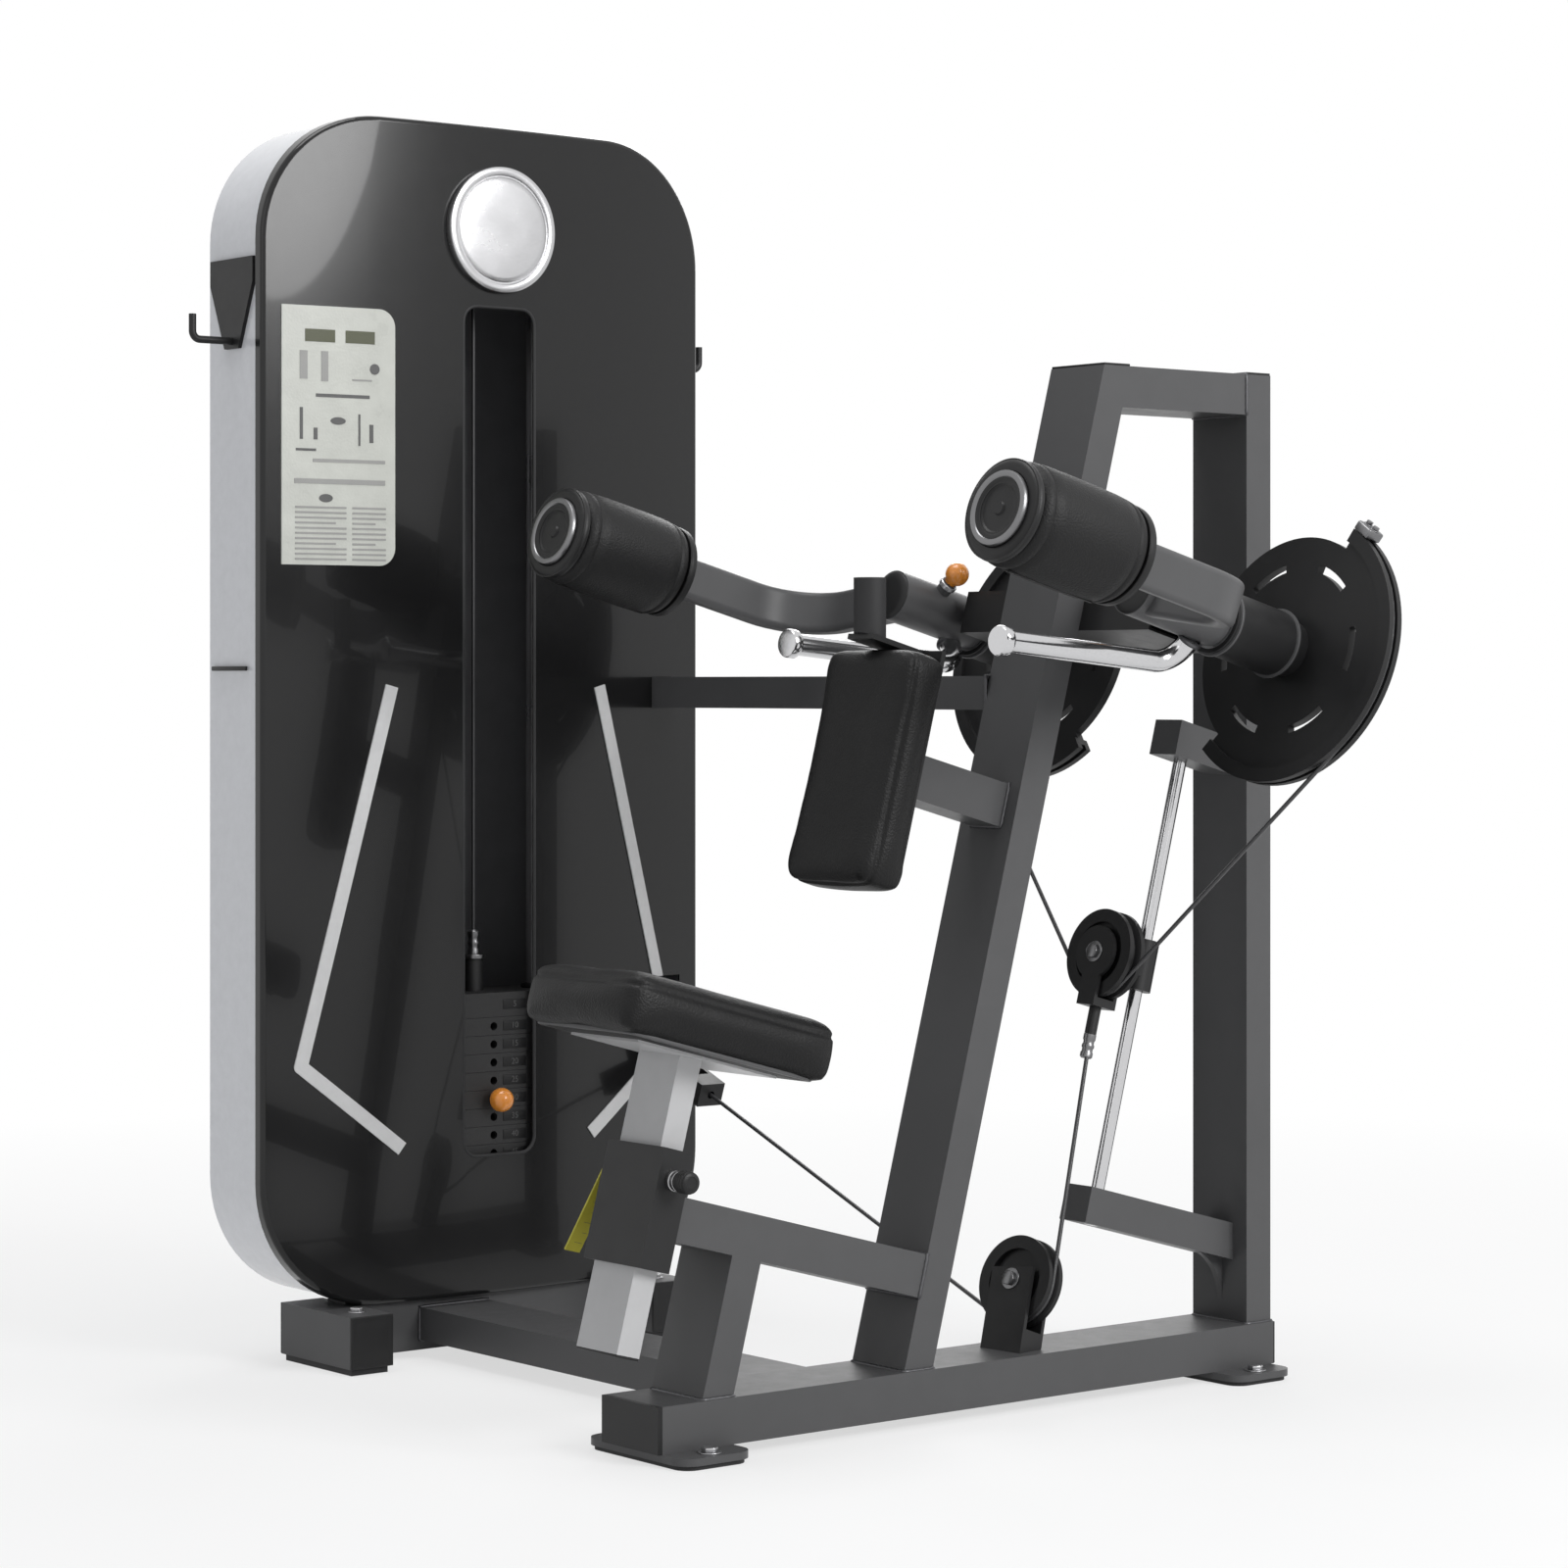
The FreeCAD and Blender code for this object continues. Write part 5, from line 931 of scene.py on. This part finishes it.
def make_handle_end(side, word):
    """The plated cap that closes a hand grip, and the weld that joins the grip to its hub."""
    start, end = leaned(-0.064, side * 0.182, 0.856), leaned(-0.309, side * 0.182, 0.814)
    away = (end - start).normalized()
    cap = lathe([(0.0127, -0.0010), (0.0158, -0.0010), (0.0166, 0.0002), (0.0168, 0.0050), (0.0166, 0.0098),
                 (0.0156, 0.0112), (0.0090, 0.0118), (0, 0.0114)], end, away, 48)
    settle(cap, word + "_handle_cap", word + "_arm", "chrome")
    bead = lathe([(0.0125, -0.002), (0.0152, -0.0012), (0.0160, 0.0012), (0.0146, 0.0034), (0.0125, 0.0044),
                  (0.0125, -0.002)],
                 leaned(-0.064, side * 0.204, PIVOT_V - 0.03), leaned(0, -side * 0.63, -0.78), 40)
    settle(bead, word + "_handle_weld", word + "_arm", "weld")


def printed(text, size, place, rotation, thick=0.0003):
    """A number as a thin raised print."""
    deselect()
    bpy.ops.object.text_add(location=place, rotation=rotation)
    made = bpy.context.object
    made.data.body, made.data.size, made.data.extrude = text, size, thick
    made.data.align_x = made.data.align_y = "CENTER"
    made.data.resolution_u = 3
    bpy.ops.object.convert(target="MESH")
    return bpy.context.object


def make_stack_labels():
    """A small numbered tab on the front of each weight plate and of the head."""
    facing = (pi / 2, 0, 0)
    blank = model(slab((0.034, 0.0008, 0.012), bevel=0.0003))
    across, front = TOWER_X + 0.031, PLATE_FRONT - 0.0003
    for index in range(PLATES + 1):
        body = "weight_lift" if index >= LOWER_PLATES else "root"
        height = 0.4238 if index == PLATES else PLATE_LOW + index * PLATE_STEP + 0.011
        settle(placed(blank, (across, front, height)), f"stack_tab_{index}", body, "black_plastic")
        number = printed(str(5 + 5 * (PLATES - index)), 0.0105, (across, front - 0.0005, height), facing)
        settle(number, f"stack_number_{index}", body, "print_grey")
    bush = model(lathe([(0.0137, 0), (0.0190, 0), (0.0196, 0.0012), (0.0190, 0.0060), (0.0137, 0.0060),
                        (0.0137, 0)], steps=40))
    for side, word in SIDES:
        bushing = placed(bush, (TOWER_X + side * 0.095, FRAME_Y, 0.4388))
        settle(bushing, f"head_bush_{word}", "weight_lift", "black_plastic")


def cover_face(x):
    """How far back the bowed cover lies from its foremost line, at an x."""
    return BOW_RADIUS - sqrt(BOW_RADIUS ** 2 - (x - TOWER_X) ** 2)


def make_badge():
    """The round badge is plain: a turned disc with a stepped rim."""
    profile = [(0, 0.0024), (0.030, 0.0023), (0.058, 0.0018), (0.0640, 0.0012), (0.0650, 0.0004),
               (0.0668, 0.0004), (0.0678, 0.0026), (0.0700, 0.0034), (0.0745, 0.0034), (0.0772, 0.0022),
               (0.0782, 0), (0.0782, -0.0062), (0, -0.0062)]
    face = lathe(profile, (TOWER_X, COVER_Y - 0.006, 1.380), -ALONG_Y, 96)
    settle(face, "badge_face", "root", "badge_silver")


CARD_LEFT, CARD_TOP, CARD_PRINT_Y = -0.461, 1.273, COVER_Y - 0.0023


def print_bar(left, right, top, bottom):
    """A bar on the instruction card. Its edges are measured from the card's left and top."""
    size = (right - left, 0.0005, bottom - top)
    bar = slab(size, (CARD_LEFT + (left + right) / 2, CARD_PRINT_Y, CARD_TOP - (top + bottom) / 2))
    if size[0] > 0.02:
        bpy.ops.object.mode_set(mode="EDIT")
        bpy.ops.mesh.select_all(action="SELECT")
        bpy.ops.mesh.subdivide(number_cuts=5)
        bpy.ops.object.mode_set(mode="OBJECT")
    return bar


def print_spot(across, down, width, height):
    """A round or oval spot on the instruction card."""
    deselect()
    bpy.ops.mesh.primitive_cylinder_add(vertices=20, radius=0.5, depth=1, rotation=(pi / 2, 0, 0))
    spot = bpy.context.object
    bpy.ops.object.transform_apply(rotation=True)
    spot.scale = (width, 0.0005, height)
    spot.location = (CARD_LEFT + across, CARD_PRINT_Y, CARD_TOP - down)
    return spot


def make_placard():
    """The instruction card: two dark bars, plain spots and strokes, and pale lines in place of the text."""
    def print_of(bars, spots=()):
        """Bars and spots as one print, moved back by the cover's bow so that it lies on the cover."""
        made = join([print_bar(*edges) for edges in bars] + [print_spot(*sizes) for sizes in spots])
        bpy.ops.object.transform_apply(location=True, rotation=True, scale=True)
        for vertex in made.data.vertices:
            vertex.co.y += cover_face(vertex.co.x)
        return made

    heads = ((0.030, 0.069, 0.028, 0.043), (0.083, 0.122, 0.028, 0.043))
    settle(print_of(heads), "card_headings", "root", "print_olive")

    strokes = ((0.044, 0.115, 0.105, 0.109), (0.023, 0.027, 0.122, 0.160), (0.041, 0.046, 0.146, 0.160),
               (0.100, 0.1025, 0.128, 0.166), (0.115, 0.120, 0.140, 0.162), (0.018, 0.044, 0.171, 0.174))
    spots = ((0.122, 0.073, 0.013, 0.013), (0.073, 0.137, 0.020, 0.009), (0.057, 0.230, 0.018, 0.010))
    settle(print_of(strokes, spots), "card_marks", "root", "print_grey")

    lines = [(0.023, 0.033, 0.054, 0.088), (0.051, 0.060, 0.054, 0.090), (0.092, 0.118, 0.086, 0.088),
             (0.040, 0.136, 0.183, 0.187), (0.016, 0.136, 0.207, 0.213)]
    for row in range(11):
        down = 0.240 + row * 0.0062
        short = 0.014 if row % 4 == 3 else 0.0
        lines += [(left, right - short, down, down + 0.0024)
                  for left, right in ((0.017, 0.084), (0.092, 0.137))]
    settle(print_of(lines), "card_lines", "root", "print_pale")


def make_height_scale():
    """Ticks on the seat's height scale."""
    flare, length, width = radians(22), 0.130, 0.020
    along = ALONG_V * cos(flare) - ALONG_Y * sin(flare)
    outward = ALONG_Y * cos(flare) + ALONG_V * sin(flare)
    low = leaned(SEAT_U, 0.05 + length * sin(flare), 0.206 - length * cos(flare))
    facing = Matrix((ALONG_U, along, outward)).transposed().to_euler()
    # Long and short marks in turn, each with how far across the strip it stands
    kinds = [(model(slab((span, 0.0010, 0.0005), bevel=0.0001, segments=1)), width * share)
             for span, share in ((0.010, 0.12), (0.006, 0.22))]
    marks = []
    for number in range(10):
        mark, across = kinds[number % 2]
        place = low + along * (0.010 + number * 0.0122) - outward * 0.0001 + ALONG_U * across
        marks.append(placed(mark, place, rotation=facing))
    settle(join(marks), "height_marks", "root", "print_grey")


def make_slot_trim():
    """A rubber edging that grips the wall round the tower's slot."""
    points = []
    across, top, foot = SLOT_HALF - SLOT_CORNER, SLOT_HIGH - SLOT_CORNER, SLOT_LOW + SLOT_CORNER
    for x, z, start in ((across, top, 0), (-across, top, 90), (-across, foot, 180), (across, foot, 270)):
        for step in range(6):
            turn = radians(start + step * 18)
            x_here = TOWER_X + x + SLOT_CORNER * cos(turn)
            y_here = COVER_Y + 0.0015 + cover_face(x_here)
            points.append(Vector((x_here, y_here, z + SLOT_CORNER * sin(turn))))
    settle(closed_tube("slot_trim", points, 0.0024, 2), "slot_trim", "root", "rubber", smooth=60)


def make_back_screws():
    """Button-head screws round the edge of the back cover."""
    head = model(disc(0.0065, 0.0028, bend=0.0009, steps=24))
    places = [(side * 0.29, z) for side, _ in SIDES for z in (0.26, 0.56, 0.86, 1.16)]
    places += [(across, z) for z in (0.10, 1.477) for across in (-0.12, 0, 0.12)]
    spots = [((TOWER_X + across, BACK_Y - 0.0004, z), ALONG_Y) for across, z in places]
    settle(row_of(head, spots), "back_cover_screws", "root", "black_plastic")


def make_tower_details():
    """A grey sheet behind the weights that paints the shade inside the tower, seen through the slot, and a
    short dark catch on each side of the shell.
    """
    # Painted shade: a grey sheet just in front of the back cover, so that the slot's inside reads as dark as
    # the tower's shade
    painted_shade_sheet = slab((0.54, 0.0012, 1.26), (TOWER_X, BACK_Y - 0.0055, 0.79), bevel=0.0004)
    settle(painted_shade_sheet, "stack_painted_shade_sheet", "root", "lining_grey")
    for side, word in SIDES:
        catch = slab((0.003, 0.080, 0.0055), (TOWER_X + side * TOWER_HALF, 0.772, 0.839), bevel=0.0012)
        settle(catch, f"{word}_shell_catch", "root", "black_plastic")


STAGE_MIDDLE = (-0.05, 0.3, 0.0)


def make_stage():
    """The floor, the world, the lamps and the camera."""
    deselect()
    bpy.ops.mesh.primitive_plane_add(size=30, location=(0, 4, -0.0002))
    bpy.ops.object.transform_apply(location=True)
    floor = bpy.context.object
    floor.name = "floor"
    look = Finish("floor_finish")
    grain = look.noise(3, 3.0)
    look.set(look.mixed(grain, (0.80, 0.80, 0.80), (0.83, 0.83, 0.83)), 0.9)
    # Away from the machine the floor shows as white as the backdrop, and near it keeps its shadow
    away = look.node("VectorMath", {"operation": "DISTANCE"}, {0: look.place, 1: STAGE_MIDDLE}, out="Value")
    share = look.seen() * (((away - 0.9) / 2.2).clipped() * 0.35 + 0.65)
    white = look.node("Emission", {}, {"Color": (1.0, 1.0, 1.0), "Strength": 1.0})
    lit = Value(look, look.surface.outputs["BSDF"])
    look.feed(look.tree.nodes["Material Output"].inputs["Surface"], look.mixed_shader(share, lit, white))
    floor.data.materials.append(look.material)

    world = bpy.data.worlds.new("studio")
    bpy.context.scene.world = world
    world.use_nodes = True
    world.node_tree.nodes.clear()
    studio = Nodes(world.node_tree)
    light = studio.node("Background", {}, {"Color": (0.95, 0.97, 1.0), "Strength": 0.3})
    white = studio.node("Background", {}, {"Color": (1.0, 1.0, 1.0), "Strength": 1.0})
    studio.node("OutputWorld", {}, {"Surface": studio.mixed_shader(studio.seen(), light, white)})

    lamp("key", (0.9, -4.4, 3.0), (0, 0.2, 0.6), 2.6, 205)
    lamp("top", (-0.6, 0.4, 4.6), (0, 0.3, 0.5), 2.4, 70)
    lamp("side", (-4.4, -0.6, 2.6), (-0.1, 0.3, 0.7), 2.2, 8)
    lamp("back", (2.8, 3.2, 3.0), (0, 0.3, 0.7), 2.0, 40)

    bpy.ops.object.camera_add(location=CAMERA_AT, rotation=(pi / 2, 0, CAMERA_HEADING))
    camera = bpy.context.object
    camera.data.lens, camera.data.sensor_width = CAMERA_LENS, 36
    camera.data.sensor_fit = "AUTO"
    camera.data.shift_y = -HORIZON_ABOVE_MIDDLE / FRAME_PIXELS
    bpy.context.scene.camera = camera
    bpy.context.scene.view_settings.view_transform = "Standard"


def lamp(name, place, aim, size, power):
    """A round lamp that faces a point."""
    deselect()
    bpy.ops.object.light_add(type="AREA", location=place)
    made = bpy.context.object
    made.name = name
    made.data.shape, made.data.size, made.data.energy = "DISK", size, power
    made.rotation_euler = (Vector(aim) - Vector(place)).to_track_quat("-Z", "Y").to_euler()


finish_cad_nodes()
make_stage()
make_pads()
make_rollers()
make_knobs()
SCREW = bolt(0.0042, 0.005)
make_arm_cables()
make_lift_cable()
make_welds()
make_caps()
make_fasteners()
make_stack_labels()
make_badge()
make_placard()
make_height_scale()
make_slot_trim()
make_back_screws()
make_tower_details()
for original in models:
    bpy.data.objects.remove(original)
